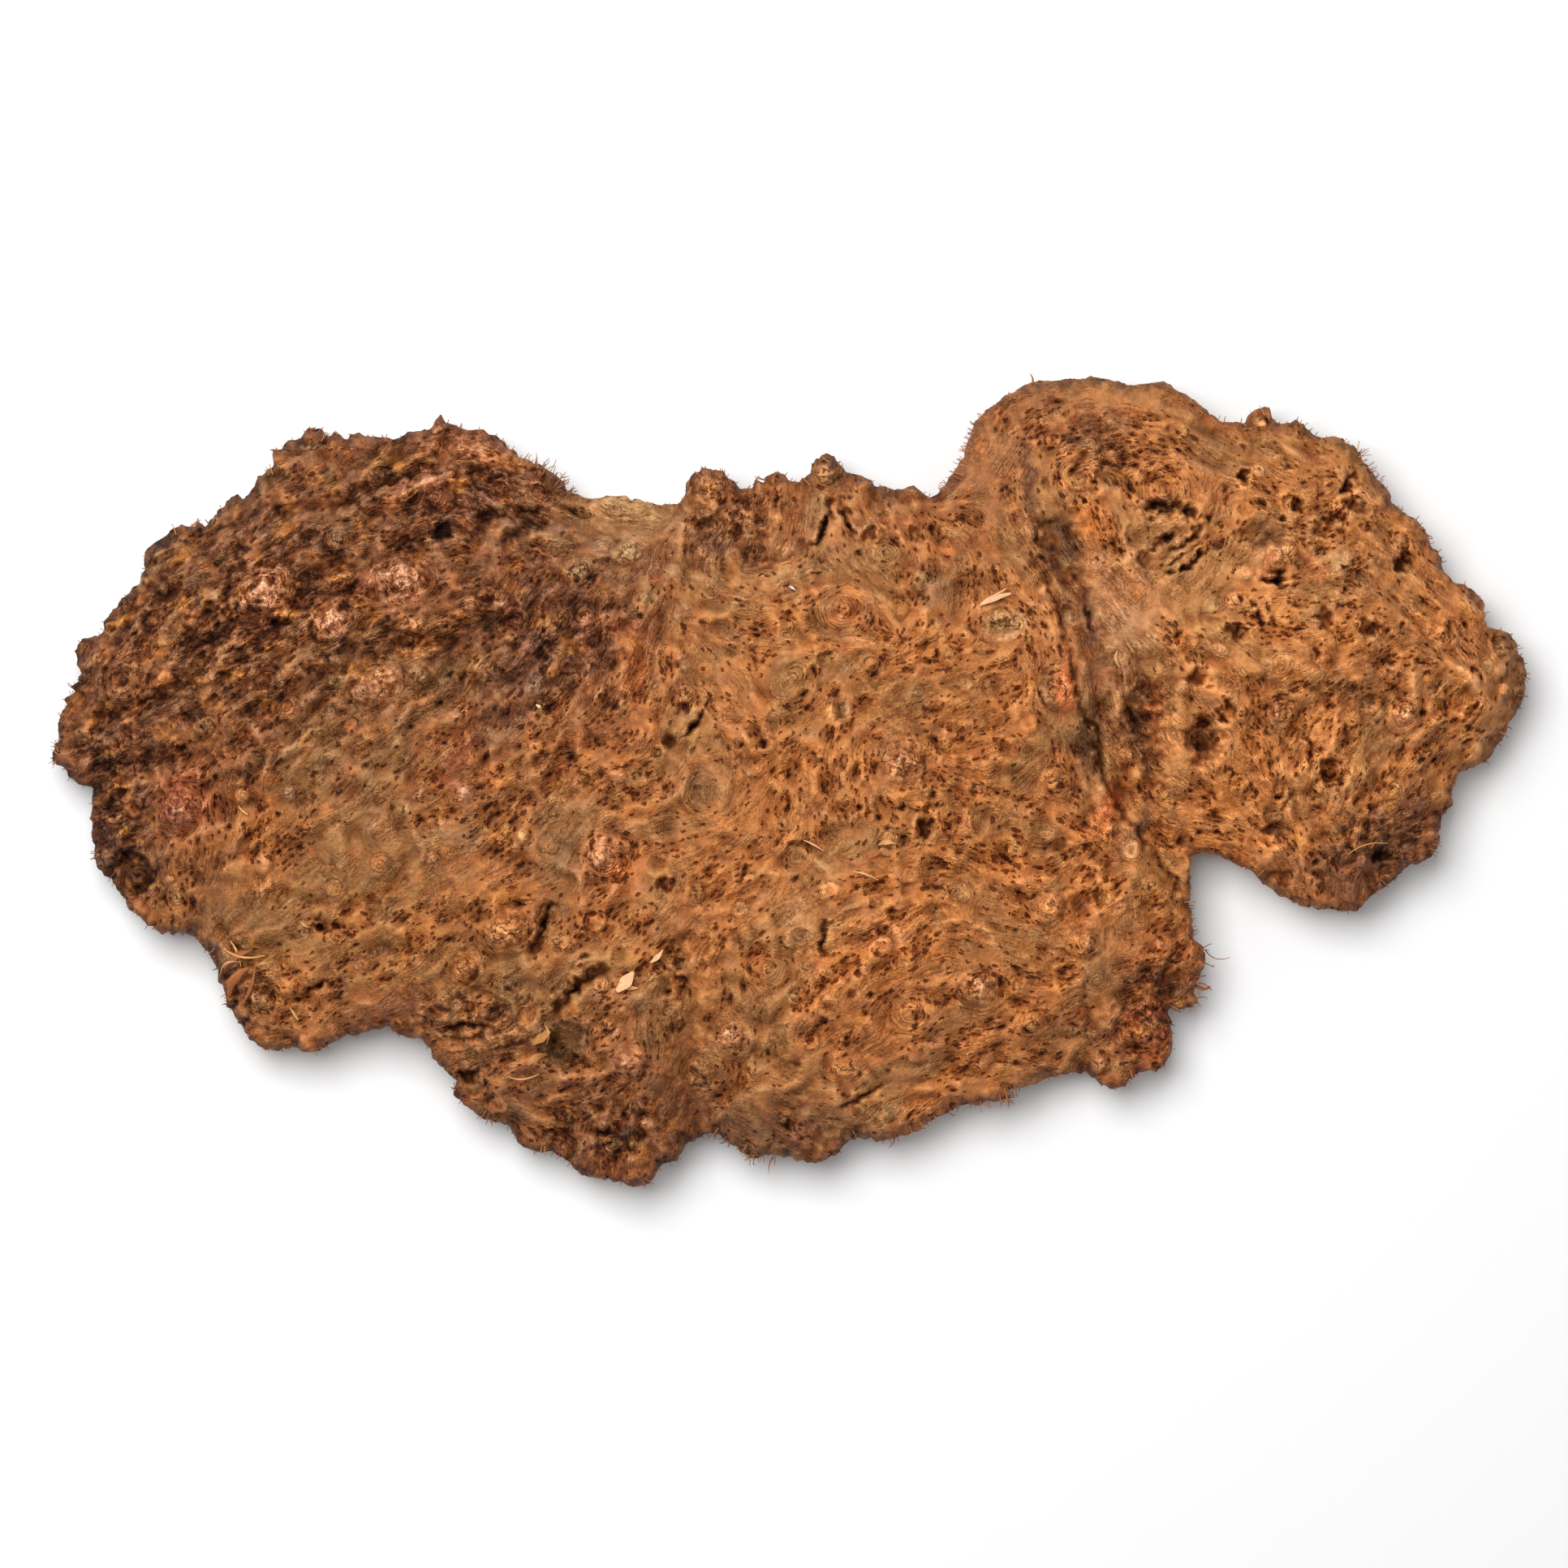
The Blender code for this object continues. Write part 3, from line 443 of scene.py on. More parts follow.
# Half width, depth, the line's points
FURROWS = [
    (8, 1.0, [(1262, 537), (1264, 590), (1270, 640)]),
    (12, 2.5, [(1284, 650), (1298, 690), (1312, 716)]),
    (5, 2.6, [(1289, 710), (1315, 804), (1331, 885), (1352, 900), (1357, 958), (1388, 1007),
              (1427, 1050), (1462, 1100)]),
    (24, 5.5, [(1315, 723), (1348, 820), (1361, 918), (1398, 1000), (1445, 1040)]),
    (60, 2.5, [(850, 640), (900, 700), (930, 790)]),
    (26, 4.5, [(838, 1170), (846, 1253), (852, 1330), (864, 1400)]),
    (26, 2.5, [(1290, 1160), (1330, 1110), (1310, 1060), (1240, 1050)]),
    (26, 2.2, [(1425, 700), (1460, 678), (1490, 655)]),
    (6, 4.0, [(1007, 668), (1016, 650), (1022, 634), (1024, 610)]),
    (5, 2.5, [(1036, 610), (1046, 637), (1052, 655)]),
    (6, 3.0, [(1018, 1137), (1012, 1155), (1016, 1171)]),
    (7, 3.0, [(683, 1115), (672, 1145), (661, 1171)]),
    (9, 5.0, [(690, 1240), (715, 1212), (745, 1192)]),
    (7, 3.0, [(545, 1277), (572, 1264), (601, 1266)]),
    (6, 2.5, [(373, 1234), (388, 1220), (403, 1212)]),
    (6, 2.5, [(1042, 1369), (1065, 1356), (1085, 1340)]),
    (9, 3.0, [(632, 664), (648, 650), (668, 640)]),
    (15, 3.5, [(262, 800), (300, 765), (345, 772), (385, 735), (410, 698), (470, 690),
               (525, 672)]),
    (17, 3.5, [(330, 880), (372, 850), (415, 832), (460, 806), (520, 792), (575, 795)]),
    (14, 3.0, [(110, 968), (165, 945), (215, 932), (262, 930)]),
    (12, 3.0, [(345, 625), (392, 620), (440, 612), (500, 578), (562, 558)]),
    (12, 2.5, [(120, 880), (165, 880), (205, 860), (260, 815)]),
    (12, 2.5, [(560, 905), (620, 880), (690, 872)]),
    (16, 2.5, [(620, 1010), (665, 985), (700, 940)]),
    (12, 2.5, [(500, 1000), (520, 1045), (490, 1090)]),
    (12, 3.0, [(600, 640), (660, 625), (720, 640), (760, 660)]),
    (12, 3.0, [(905, 650), (925, 680), (950, 690)]),
    (16, 3.0, [(1384, 950), (1360, 1085), (1330, 1110)])]
# Slits torn open along the grain: half width, depth, the line's points
SLITS = [
    (3.4, 3.6, [(1406, 702), (1434, 688), (1466, 664), (1493, 634)]),
    (2.2, 2.6, [(1432, 701), (1456, 686), (1482, 662)]),
    (2.8, 3.0, [(1404, 690), (1424, 672), (1450, 656)]),
    (3.2, 3.2, [(1444, 712), (1470, 692), (1500, 660)]),
    (2.0, 2.2, [(1452, 668), (1468, 650), (1478, 634)]),
    (2.2, 2.4, [(1420, 716), (1444, 706), (1462, 702)]),
    (3.4, 4.0, [(1543, 717), (1570, 719), (1600, 711)]),
    (2.0, 2.6, [(1556, 727), (1580, 727), (1600, 722)]),
    (1.8, 2.2, [(1546, 708), (1566, 711), (1590, 702)]),
    (2.4, 2.6, [(1528, 742), (1540, 758), (1545, 780)]),
    (2.2, 2.6, [(1547, 740), (1556, 760), (1560, 782)]),
    (2.0, 2.4, [(1512, 728), (1522, 748), (1526, 772)]),
    (2.6, 3.0, [(1503, 860), (1510, 874), (1516, 890)]), (2.6, 3.0, [(1492, 868), (1500, 886)]),
    (2.2, 2.6, [(1600, 900), (1608, 930), (1604, 960)]),
    (2.2, 2.6, [(1613, 905), (1620, 932), (1618, 955)]),
    (2.2, 2.6, [(1560, 1000), (1572, 982), (1580, 962)]),
    (2.0, 2.4, [(1572, 1004), (1584, 986), (1592, 966)]),
    (2.4, 3.0, [(880, 862), (862, 888), (835, 920)]),
    (1.8, 1.8, [(1240, 1110), (1290, 1095), (1340, 1090)]),
    (2.6, 3.0, [(740, 1170), (722, 1178), (700, 1190)]),
    (2.8, 3.2, [(745, 1192), (720, 1210), (690, 1240)]),
    (2.4, 2.8, [(683, 1115), (674, 1142), (661, 1170)]),
    (2.0, 2.4, [(673, 1112), (664, 1136), (652, 1160)]),
    (2.6, 3.0, [(1274, 846), (1280, 862), (1290, 872)]),
    (2.0, 2.4, [(1330, 730), (1338, 760), (1346, 792)]),
    (2.2, 2.6, [(1007, 668), (1016, 650), (1023, 612)]),
    (2.0, 2.2, [(1036, 610), (1045, 636), (1052, 656)]),
    (2.2, 2.4, [(1018, 1137), (1012, 1155), (1016, 1171)]),
    (2.4, 2.6, [(545, 1277), (572, 1264), (601, 1266)]),
    (2.0, 2.2, [(373, 1234), (388, 1220), (403, 1212)]),
    (2.0, 2.2, [(1042, 1369), (1065, 1356), (1085, 1340)])]
# Single holes: place and radius
HOLES = [
    (291, 1019, 4), (354, 1002, 3), (400, 1141, 5), (421, 1140, 5), (793, 761, 4), (943, 917, 5),
    (1058, 995, 4), (1110, 995, 4), (1112, 1029, 3), (1093, 1019, 3), (1057, 1195, 4),
    (1072, 1221, 4), (1147, 978, 4), (1060, 680, 4), (1575, 641, 4), (1650, 702, 3),
    (1650, 729, 3), (1810, 766, 4), (1750, 880, 4), (1815, 900, 4), (1480, 1028, 4),
    (1500, 1028, 4), (827, 1219, 4), (1530, 587, 5), (1576, 641, 4), (1553, 622, 4),
    (1404, 556, 3), (1383, 574, 3), (1345, 596, 4), (1332, 622, 3)]
PLAIN = [
    (1215, 560, 55, 110), (1390, 480, 130, 26), (768, 625, 70, 34), (846, 1320, 26, 90),
    (530, 1085, 130, 90), (1345, 790, 26, 80)]
LEDGE = (768, 600, 78, 46)
LEDGE_HEIGHT = 12.0
LUMPS = [(40, 40, 1.8), (19, 19, 1.0)]
RIDGES = [(64, 26, 1.5), (34, 13, 0.7)]
WANDER, WANDER_CELL = 26.0, 75.0
RIDGE_TURN = 35.0
RIDGE_AREA = (330, 800, 300, 260)


def line_distance(x, y, points):
    """Distance in pixels from a line of points."""
    best = np.full(x.shape, 1e9)
    for (x0, y0), (x1, y1) in zip(points, points[1:]):
        length = (x1 - x0) ** 2 + (y1 - y0) ** 2
        t = np.clip(((x - x0) * (x1 - x0) + (y - y0) * (y1 - y0)) / length, 0, 1)
        best = np.minimum(best, np.hypot(x - x0 - t * (x1 - x0), y - y0 - t * (y1 - y0)))
    return best


def unevenness(x, y):
    """Seeded lumps all over and slanting ridges on the left lobe, in millimetres."""
    wander_x = x + WANDER * noise(x / WANDER_CELL, y / WANDER_CELL, 11)
    wander_y = y + WANDER * noise(x / WANDER_CELL, y / WANDER_CELL, 12)
    lumps = sum(rise * noise(wander_x / along, wander_y / across, 20 + k)
                for k, (along, across, rise) in enumerate(LUMPS))
    a = np.radians(RIDGE_TURN)
    climb = wander_x * np.cos(a) - wander_y * np.sin(a)
    side = wander_x * np.sin(a) + wander_y * np.cos(a)
    ridges = sum(rise * (0.5 - 1.5 * np.abs(noise(climb / along, side / across, 30 + k))
                         + noise(climb / along, side / across, 34 + k))
                 for k, (along, across, rise) in enumerate(RIDGES))
    left = bell(oval(x, y, *RIDGE_AREA) / 1.5)
    rough = lumps * (1 - 0.4 * left) + ridges * left
    plain = sum(bell(oval(x, y, *zone)) for zone in PLAIN)
    return rough * (1 - 0.8 * np.clip(plain, 0, 1))


def torn_places(x, y, size):
    """Places moved a little, so that what is drawn there has a torn edge."""
    return (x + size * (noise(x / 13, y / 13, 43) + 0.6 * noise(x / 6, y / 6, 44)),
            y + size * (noise(x / 13, y / 13, 45) + 0.6 * noise(x / 6, y / 6, 46)))


def top_height(x, y, inward):
    """Height of the top surface in millimetres; inward is the distance from the outline."""
    crown = CROWN + sum(rise * bell(oval(x, y, cx, cy, rx, ry) / 1.5)
                        for cx, cy, rx, ry, rise in LOBES)
    rim = RIM_HEIGHT / MM + 3 * noise(x / 150, y / 150, 41)
    height = rim + crown * (1 - np.exp(-inward / SHOULDER))
    height += unevenness(x, y)
    torn_x, torn_y = torn_places(x, y, 4.5)
    for cx, cy, rx, ry, turn, rise in KNOBS:
        r = oval(torn_x, torn_y, cx, cy, rx, ry, turn)
        height += rise * ((1 + MOAT) * bell(r) - MOAT * bell(r / 1.8))
    for width, depth, points in FURROWS:
        height -= depth * bell(line_distance(torn_x, torn_y, points) / width / 1.3)
    torn_x, torn_y = torn_places(x, y, 7.0)
    for cx, cy, rx, ry, turn, depth, lip in HOLLOWS:
        r = oval(torn_x, torn_y, cx, cy, rx, ry, turn)
        height += lip * np.exp(-((r - 1.35) / 0.35) ** 2)
        height -= depth * (0.6 / (1 + r ** 6) + 0.4 * bell(r))
    ledge = 1 / (1 + oval(x, y, *LEDGE) ** 8)
    return height * (1 - ledge) + (LEDGE_HEIGHT + 0.05 * height) * ledge


def covered(areas, x, y):
    """How far a place is in any of the areas, from 0 to 1."""
    return np.clip(sum(bell(oval(x, y, *area)) for area in areas), 0, 1)


height = top_height(map_x, map_y, inward)
tallest = height.max()
above_rim = np.clip(height - RIM_HEIGHT / MM, 0, None)
height = (np.minimum(height, RIM_HEIGHT / MM)
          + above_rim * (HEIGHT - RIM_HEIGHT) / MM / (tallest - RIM_HEIGHT / MM))

# Where the surface is torn and gnarled, and where it lies smooth: centre and radii
RUGGED = [
    (330, 760, 330, 210), (140, 960, 100, 170), (560, 600, 200, 90), (700, 790, 130, 110),
    (900, 640, 90, 70), (1360, 560, 56, 44), (1430, 1250, 70, 90), (1402, 888, 40, 60),
    (1700, 1040, 110, 80), (590, 1260, 110, 80), (760, 1400, 120, 70), (300, 1220, 60, 70)]
SMOOTH = [
    (1215, 560, 55, 110), (1390, 480, 130, 26), (768, 625, 70, 34), (846, 1300, 30, 110),
    (480, 1060, 120, 50), (1345, 800, 34, 90), (1388, 765, 50, 60), (690, 1040, 40, 50),
    (1105, 860, 60, 24), (280, 1100, 60, 70), (975, 840, 34, 40), (640, 1200, 36, 30),
    (1500, 840, 60, 26), (1450, 930, 30, 60), (1150, 725, 34, 50), (1360, 1190, 40, 40),
    (840, 1130, 50, 24), (1390, 1010, 26, 40), (480, 1240, 60, 24)]
# Heights of the grain's ridges from bands to hairs, and of crags and flakes; depths of cracks
BAND_RISE, WIDE_RISE, BROAD_RISE, FINE_RISE = 0.8, 0.34, 0.26, 0.08
CRAG_RISE, FLAKE_RISE = 2.5, 0.75
WIDE_CRACK, FINE_CRACK = 2.2, 0.9
rugged = covered(RUGGED, map_x, map_y)
plain = covered(SMOOTH, map_x, map_y) * (1 - 0.6 * rugged)
calm = 1 - 0.75 * plain
height += BAND_RISE * bands * (1 - 0.7 * rugged) * calm
height += (WIDE_RISE * np.tanh(1.6 * wide_comb) + BROAD_RISE * np.tanh(1.8 * broad_comb)
           + FINE_RISE * fine_comb) * calm
crags = (0.4 - np.abs(noise(map_x / 25, map_y / 19, 47))
         - 0.6 * np.abs(noise(map_x / 10, map_y / 9, 48)))
# Where it is torn the grain is folded and crumpled
fold_x, fold_y = torn_places(map_x, map_y, 8.0)
torn_wide = wide_comb * (1 - rugged) + read_map(wide_comb, fold_x, fold_y) * rugged
torn_broad = broad_comb * (1 - rugged) + read_map(broad_comb, fold_x, fold_y) * rugged
flakes = 0.75 * np.tanh(2 * torn_wide) + 0.45 * np.tanh(2 * torn_broad) + 0.15 * fine_comb
height += rugged * (CRAG_RISE * crags + FLAKE_RISE * flakes)


def crack_lines(grain, width, share, cell, seed):
    """Thin lines along the grain, broken up into lengths."""
    kept = np.clip(share + 1.6 * noise(map_x / cell, map_y / cell, seed), 0, 1)
    return np.exp(-(grain / width) ** 2) * kept


# Cracks are wide and deep where the wood is torn
wide_cracks = crack_lines(torn_wide, 0.30, 0.4, 18, 49)
fine_cracks = crack_lines(torn_broad, 0.40, 0.2, 12, 50)
height -= WIDE_CRACK * rugged * wide_cracks + FINE_CRACK * (rugged + 0.35 * calm) * fine_cracks
# The cracks' mask, for painted shade in them
cracks = np.clip(rugged * (wide_cracks + 0.8 * fine_cracks) + 0.4 * calm * fine_cracks, 0, 1)

# Slits gape in the middle, close towards their ends and have a low lip
SLIT_LIP = 0.4
slit_x, slit_y = torn_places(map_x, map_y, 3.0)
for width, depth, points in SLITS:
    middle_x, middle_y = points[len(points) // 2]
    reach = 0.5 * math.dist(points[0], points[-1])
    part = window(middle_x, middle_y, 1.6 * reach)
    x, y = slit_x[part], slit_y[part]
    gape = np.clip(1.1 - (np.hypot(x - middle_x, y - middle_y) / reach) ** 2, 0, 1)
    gape *= np.clip(0.8 + 1.1 * noise(x / 11, y / 11, 64), 0.1, 1.5)
    near = line_distance(x, y, points) / (width * (0.15 + 1.2 * gape))
    open_here = gape * np.exp(-near ** 4)
    height[part] += SLIT_LIP * gape * np.exp(-((near - 2.0) / 0.8) ** 2) - depth * open_here
    # The open slits get painted shade
    cracks[part] = np.maximum(cracks[part], 1.1 * open_here)

# Knobs are gnarled all over: small lumps with creases between them. What is wider than
# WIDEST_KNOB is a swelling and no knob
WIDEST_KNOB = 45
GNARL = 0.24
crumbly = np.zeros(map_x.shape)
for cx, cy, rx, ry, turn, rise in KNOBS:
    part = window(cx, cy, 1.4 * max(rx, ry))
    x, y = map_x[part], map_y[part]
    on_knob = bell(oval(x, y, cx, cy, rx, ry, turn)) * (rx < WIDEST_KNOB)
    crumbly[part] = np.maximum(crumbly[part], on_knob)
    gnarl = 0.6 - 1.8 * np.abs(noise(x / 9, y / 9, 61)) + 0.7 * noise(x / 5, y / 5, 62)
    height[part] += GNARL * rise * on_knob * gnarl
    # The creases between the lumps get painted shade
    cracks[part] = np.maximum(cracks[part] * (1 - 0.6 * on_knob),
                              0.6 * on_knob * np.clip(-1.6 * gnarl, 0, 1))


def torn_lobe(x, y):
    """Whether a place is on the weathered left lobe."""
    return x < 640 and y < 1000


# Bud eyes are small rises or dents, some with rings round them. RINGED has the centres of those
# with clear rings
RING_EVERY, RING_RISE = 1.9, 0.2
BUD_RISES = [1.1, 0.7, 0.4, -0.7]
RINGED = [
    (750, 1057), (611, 742), (1567, 824), (1629, 841), (1352, 1209), (1271, 1261), (1041, 754),
    (1725, 880), (1430, 606), (1634, 951), (1120, 1245), (1093, 681), (982, 1055)]
eye_radius = np.full(map_x.shape, 9.0)
eye_number = np.zeros(map_x.shape)
eye_hold = np.zeros(map_x.shape)
bud_kinds = np.random.default_rng(9)
for ex, ey, size in EYES + buds:
    part = window(ex, ey, 2.0 * size)
    x, y = map_x[part], map_y[part]
    wobble = 1 + 0.18 * noise(x / 16, y / 16, 63)
    r = np.hypot(x - ex, y - ey) / size * wobble
    hold = np.exp(-(r / 1.1) ** 6)
    rings = np.cos(2 * np.pi * r * size * PX / MM / RING_EVERY + bud_kinds.uniform(0, 6))
    rise = bud_kinds.choice(BUD_RISES) * (size / 15 if size < 16 else 0.2)
    clear = 1.0 if (ex, ey) in RINGED else bud_kinds.choice([0.0, 0.15, 0.35])
    clear = 0.0 if torn_lobe(ex, ey) else clear
    height[part] += rise * bell(r) + RING_RISE * clear * rings * hold
    hold = hold * clear
    nearer = hold > eye_hold[part]
    eye_radius[part] = np.where(nearer, r * size * PX / MM, eye_radius[part])
    eye_number[part] = np.where(nearer, (ex * 7.3 + ey * 3.1) % 97, eye_number[part])
    eye_hold[part] = np.maximum(eye_hold[part], hold)

# Pits, longer along the grain, crowd in clusters: centre and spread
PIT_CLUSTERS = [
    (955, 765, 25), (985, 760, 12), (1125, 755, 25), (1145, 780, 10), (1100, 790, 15),
    (945, 820, 22), (1010, 870, 20), (1070, 877, 14), (960, 950, 24), (990, 940, 18),
    (1010, 950, 18), (1040, 930, 22), (1060, 950, 20), (1180, 930, 28), (1215, 920, 32),
    (1230, 1065, 46), (1085, 1085, 28), (960, 985, 24), (1020, 960, 18), (1010, 1030, 14),
    (930, 1190, 26), (880, 1240, 28), (1060, 1200, 24), (1100, 1190, 38), (1130, 1245, 28),
    (1240, 1230, 55), (1300, 1210, 40), (1290, 1250, 26), (1200, 1290, 30), (1250, 1290, 38),
    (1310, 940, 20), (1330, 1040, 32), (1250, 1110, 26), (1430, 1130, 38), (1420, 570, 60),
    (1320, 580, 34), (1390, 500, 25), (1440, 520, 25), (1330, 660, 14), (1650, 665, 46),
    (1660, 795, 40), (1780, 765, 38), (1790, 880, 34), (1690, 1000, 26), (1740, 970, 30),
    (1500, 990, 40), (555, 755, 16), (640, 770, 22), (300, 830, 30), (250, 1040, 28),
    (350, 1040, 36), (440, 1130, 40), (530, 1150, 40), (640, 1105, 32), (560, 1000, 28),
    (620, 960, 26), (690, 960, 26), (760, 1140, 36), (800, 1170, 28), (740, 1100, 28),
    (800, 1050, 16), (880, 1080, 26), (360, 1230, 50), (760, 1430, 50), (700, 1370, 50),
    (770, 1340, 24), (915, 1330, 14), (890, 1355, 14), (1600, 600, 44), (1560, 770, 40),
    (1620, 890, 40), (1540, 860, 34)]
SPONGES, SPONGE_TRIES, SPONGES_INWARD = 620, 9000, 0.003
SPONGE_SIZES = (7.0, 17.0)
SPONGE_DEPTHS, SPONGE_RIM = (0.3, 1.3), 0.35
PITS_PER_AREA = 0.013
LONE_PITS = 260
PIT_LENGTHS, PIT_WIDTHS, PIT_DEPTHS = (3.0, 6.0), (2.0, 3.4), (0.8, 2.2)
HOLE_DEPTH, HOLE_LIP = 2.6, 0.4
RIM_LOSS, RIM_LOSS_REACH = 1.1, 0.004
where_pitted = np.zeros(map_x.shape)
for px, py, spread in PIT_CLUSTERS:
    part = window(px, py, 2.2 * spread)
    r = np.hypot(map_x[part] - px, map_y[part] - py) / spread
    where_pitted[part] = np.maximum(where_pitted[part], bell(r / 1.3))
where_pitted = np.maximum(where_pitted, 0.55 * np.clip(0.3 + 0.6 * bands, 0, 1)) * (1 - plain)

# A sponge is a small hollowed patch with a low rim, and pits crowded in it
sponge = np.zeros(map_x.shape)
sponge_rim = np.zeros(map_x.shape)
scatter = np.random.default_rng(12)
sponges = []
pits = []
for _ in range(SPONGE_TRIES):
    px, py = scatter.uniform(80, 1880), scatter.uniform(475, 1455)
    size = scatter.uniform(*SPONGE_SIZES)
    if len(sponges) == SPONGES or value_at(edge_inward, px, py, EDGE_STEP) < SPONGES_INWARD:
        continue
    if value_at(where_pitted, px, py) < scatter.uniform(0.05, 1):
        continue
    if any(math.hypot(px - ox, py - oy) < 0.95 * (size + other) for ox, oy, other in sponges):
        continue
    sponges.append((px, py, size))
    lie = math.degrees(value_at(grain_turn, px, py))
    part = window(px, py, 2.2 * size)
    x, y = torn_places(map_x[part], map_y[part], 3.0)
    r = oval(x, y, px, py, 1.25 * size, 0.8 * size, lie)
    in_sponge = 1 / (1 + r ** 4)
    on_rim = np.exp(-((r - 1.25) / 0.22) ** 2)
    height[part] += SPONGE_RIM * on_rim - scatter.uniform(*SPONGE_DEPTHS) * in_sponge
    sponge[part] = np.maximum(sponge[part], in_sponge)
    sponge_rim[part] = np.maximum(sponge_rim[part], on_rim)
    pits += [(px + scatter.normal(0, 0.45 * size), py + scatter.normal(0, 0.45 * size))
             for _ in range(int(PITS_PER_AREA * size ** 2))]
pits += [(scatter.uniform(90, 1870), scatter.uniform(480, 1440)) for _ in range(LONE_PITS)]
pit_depth = np.zeros(map_x.shape)
for px, py in pits:
    long, wide = scatter.uniform(*PIT_LENGTHS), scatter.uniform(*PIT_WIDTHS)
    deep = scatter.uniform(*PIT_DEPTHS)
    if value_at(plain, px, py) > scatter.uniform(0.2, 0.7):
        continue
    lie = math.degrees(value_at(grain_turn, px, py))
    part = window(px, py, 12)
    x, y = torn_places(map_x[part], map_y[part], 1.2)
    r = oval(x, y, px, py, long, wide, lie)
    pit_depth[part] = np.maximum(pit_depth[part], deep * np.exp(-r ** 4))
for px, py, size in HOLES:
    part = window(px, py, 4 * size)
    x, y = torn_places(map_x[part], map_y[part], 1.0)
    r = np.hypot(x - px, y - py) / size
    pit_depth[part] = np.maximum(pit_depth[part], HOLE_DEPTH * np.exp(-r ** 4))
    height[part] += HOLE_LIP * np.exp(-((r - 1.6) / 0.4) ** 2)
height -= pit_depth
rim_loss = np.exp(-inward / RIM_LOSS_REACH)
height += RIM_LOSS * rim_loss * noise(map_x / 9, map_y / 9, 71)
# How far each place stands over its neighbourhood, wide and narrow: the colours take it as painted
# light on rises and ridges and painted shade in hollows
raised = (height - softened(height, 7)) / 1.1
ridged = height - softened(height, 2)

# The skin
# The slab's mesh is lifted to the map's height over an undercut wall as lumpy as the top. Then
# it is thinned where it is flat, and the underside is trued to the saw cut. Levels go from 0 at
# the sawn face to 1 at the top.
WIDEST_AT = 0.55
TOP_LEAN = 0.0018
UNDERCUT = 0.013
WALL_RELIEF, WALL_REACH = 0.0013, 0.003
TRIANGLES = 196000
FLAT = 0.00025


def wall_lumps(x, y, level):
    """Seeded lumps on the wall, drifting sideways as it goes up."""
    up = 160 * level
    return (noise((x + 0.7 * up) / 22, (y - 0.6 * up) / 22, 81)
            + 0.6 * noise((x - 0.5 * up) / 9, (y + 0.8 * up) / 9, 82))


def wall_ways(x, y):
    """The pull inwards near the outline, and the way straight out of it."""
    pull = np.stack([read_map(edge_pull_x, x, y, EDGE_STEP),
                     read_map(edge_pull_y, x, y, EDGE_STEP)], 1)
    return pull, -pull / np.maximum(np.linalg.norm(pull, axis=1), 0.05)[:, None]


def mesh_points(mesh):
    """The places of a mesh's points, a row for each."""
    places = np.empty(len(mesh.vertices) * 3)
    mesh.vertices.foreach_get("co", places)
    return places.reshape(-1, 3)


mesh = wood.data
points = mesh_points(mesh)
level = np.clip(points[:, 2] / SLAB + 0.5, 0, 1)
seat_x = points[:, 0] / PX + PX_X
seat_y = PX_Y - points[:, 1] / PX
above = np.clip((level - WIDEST_AT) / (1 - WIDEST_AT), 0, 1)
below = np.clip((WIDEST_AT - level) / WIDEST_AT, 0, 1)
lean = TOP_LEAN * above ** 2 + UNDERCUT * below ** 1.6
skin_inward = read_map(edge_inward, seat_x, seat_y, EDGE_STEP)
pull, outward = wall_ways(seat_x, seat_y)
lumpy = wall_lumps(seat_x, seat_y, level)
on_wall = np.exp(-skin_inward / WALL_REACH) * np.clip(4 * level, 0, 1)
points[:, :2] += pull * lean[:, None]
points[:, :2] += outward * (WALL_RELIEF * on_wall * (lumpy - 0.5))[:, None]
points[:, 2] = read_map(height, seat_x, seat_y) * MM * level
mesh.vertices.foreach_set("co", points.ravel())
seat = mesh.attributes.new("seat", "FLOAT_VECTOR", "POINT")
seat.data.foreach_set("vector", np.stack([seat_x, seat_y, level], 1).ravel())
mesh.update()

fewer = wood.modifiers.new("fewer", "DECIMATE")
fewer.ratio = TRIANGLES / sum(len(face.vertices) - 2 for face in mesh.polygons)
bpy.ops.object.modifier_apply(modifier="fewer")
clean = bmesh.new()
clean.from_mesh(wood.data)
for vertex in clean.verts:
    if vertex.co.z < FLAT:
        vertex.co.z = 0
bmesh.ops.dissolve_degenerate(clean, edges=clean.edges, dist=1e-6)
bmesh.ops.triangulate(clean, faces=clean.faces)
for face in clean.faces:
    face.smooth = True
    face.material_index = int(all(vertex.co.z == 0 for vertex in face.verts))
for edge in clean.edges:
    edge.smooth = len({face.material_index for face in edge.link_faces}) == 1
clean.to_mesh(wood.data)
clean.free()
mesh = wood.data
points = mesh_points(mesh)
wood_low, wood_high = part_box("burl_cap")
points[:, 0] += (wood_low.x + wood_high.x - points[:, 0].min() - points[:, 0].max()) / 2
points[:, 1] += (wood_low.y + wood_high.y - points[:, 1].min() - points[:, 1].max()) / 2
mesh.vertices.foreach_set("co", points.ravel())
seats = np.empty(len(mesh.vertices) * 3)
mesh.attributes["seat"].data.foreach_get("vector", seats)
seat_x, seat_y, seat_level = seats.reshape(-1, 3).T
mesh.attributes.remove(mesh.attributes["seat"])
print("wood", len(mesh.vertices), "points", len(mesh.polygons), "faces")

# Over the wood's own colours go painted light and shade: lighter on rises, ridges and the wall's
# bulges, darker in hollows, cracks, slits and pits.
# The colours of the wood
# Red-brown heartwood, darker and browner on the weathered left lobe and in the hollows, rusty
# at the lower right, pink and orange on the knobs, olive grey along the smooth channels.
# What the studio light asks of red, green and blue, and how fast each darkens in the shade
LIT = np.array([0.81, 0.76, 0.60])
SHADE = np.array([0.80, 1.05, 1.32])


def seen(red, green, blue):
    """The linear colour that shows as these picture values under the studio light."""
    values = np.array([red, green, blue]) / 255
    return LIT * np.where(values <= 0.04045, values / 12.92, ((values + 0.055) / 1.055) ** 2.4)


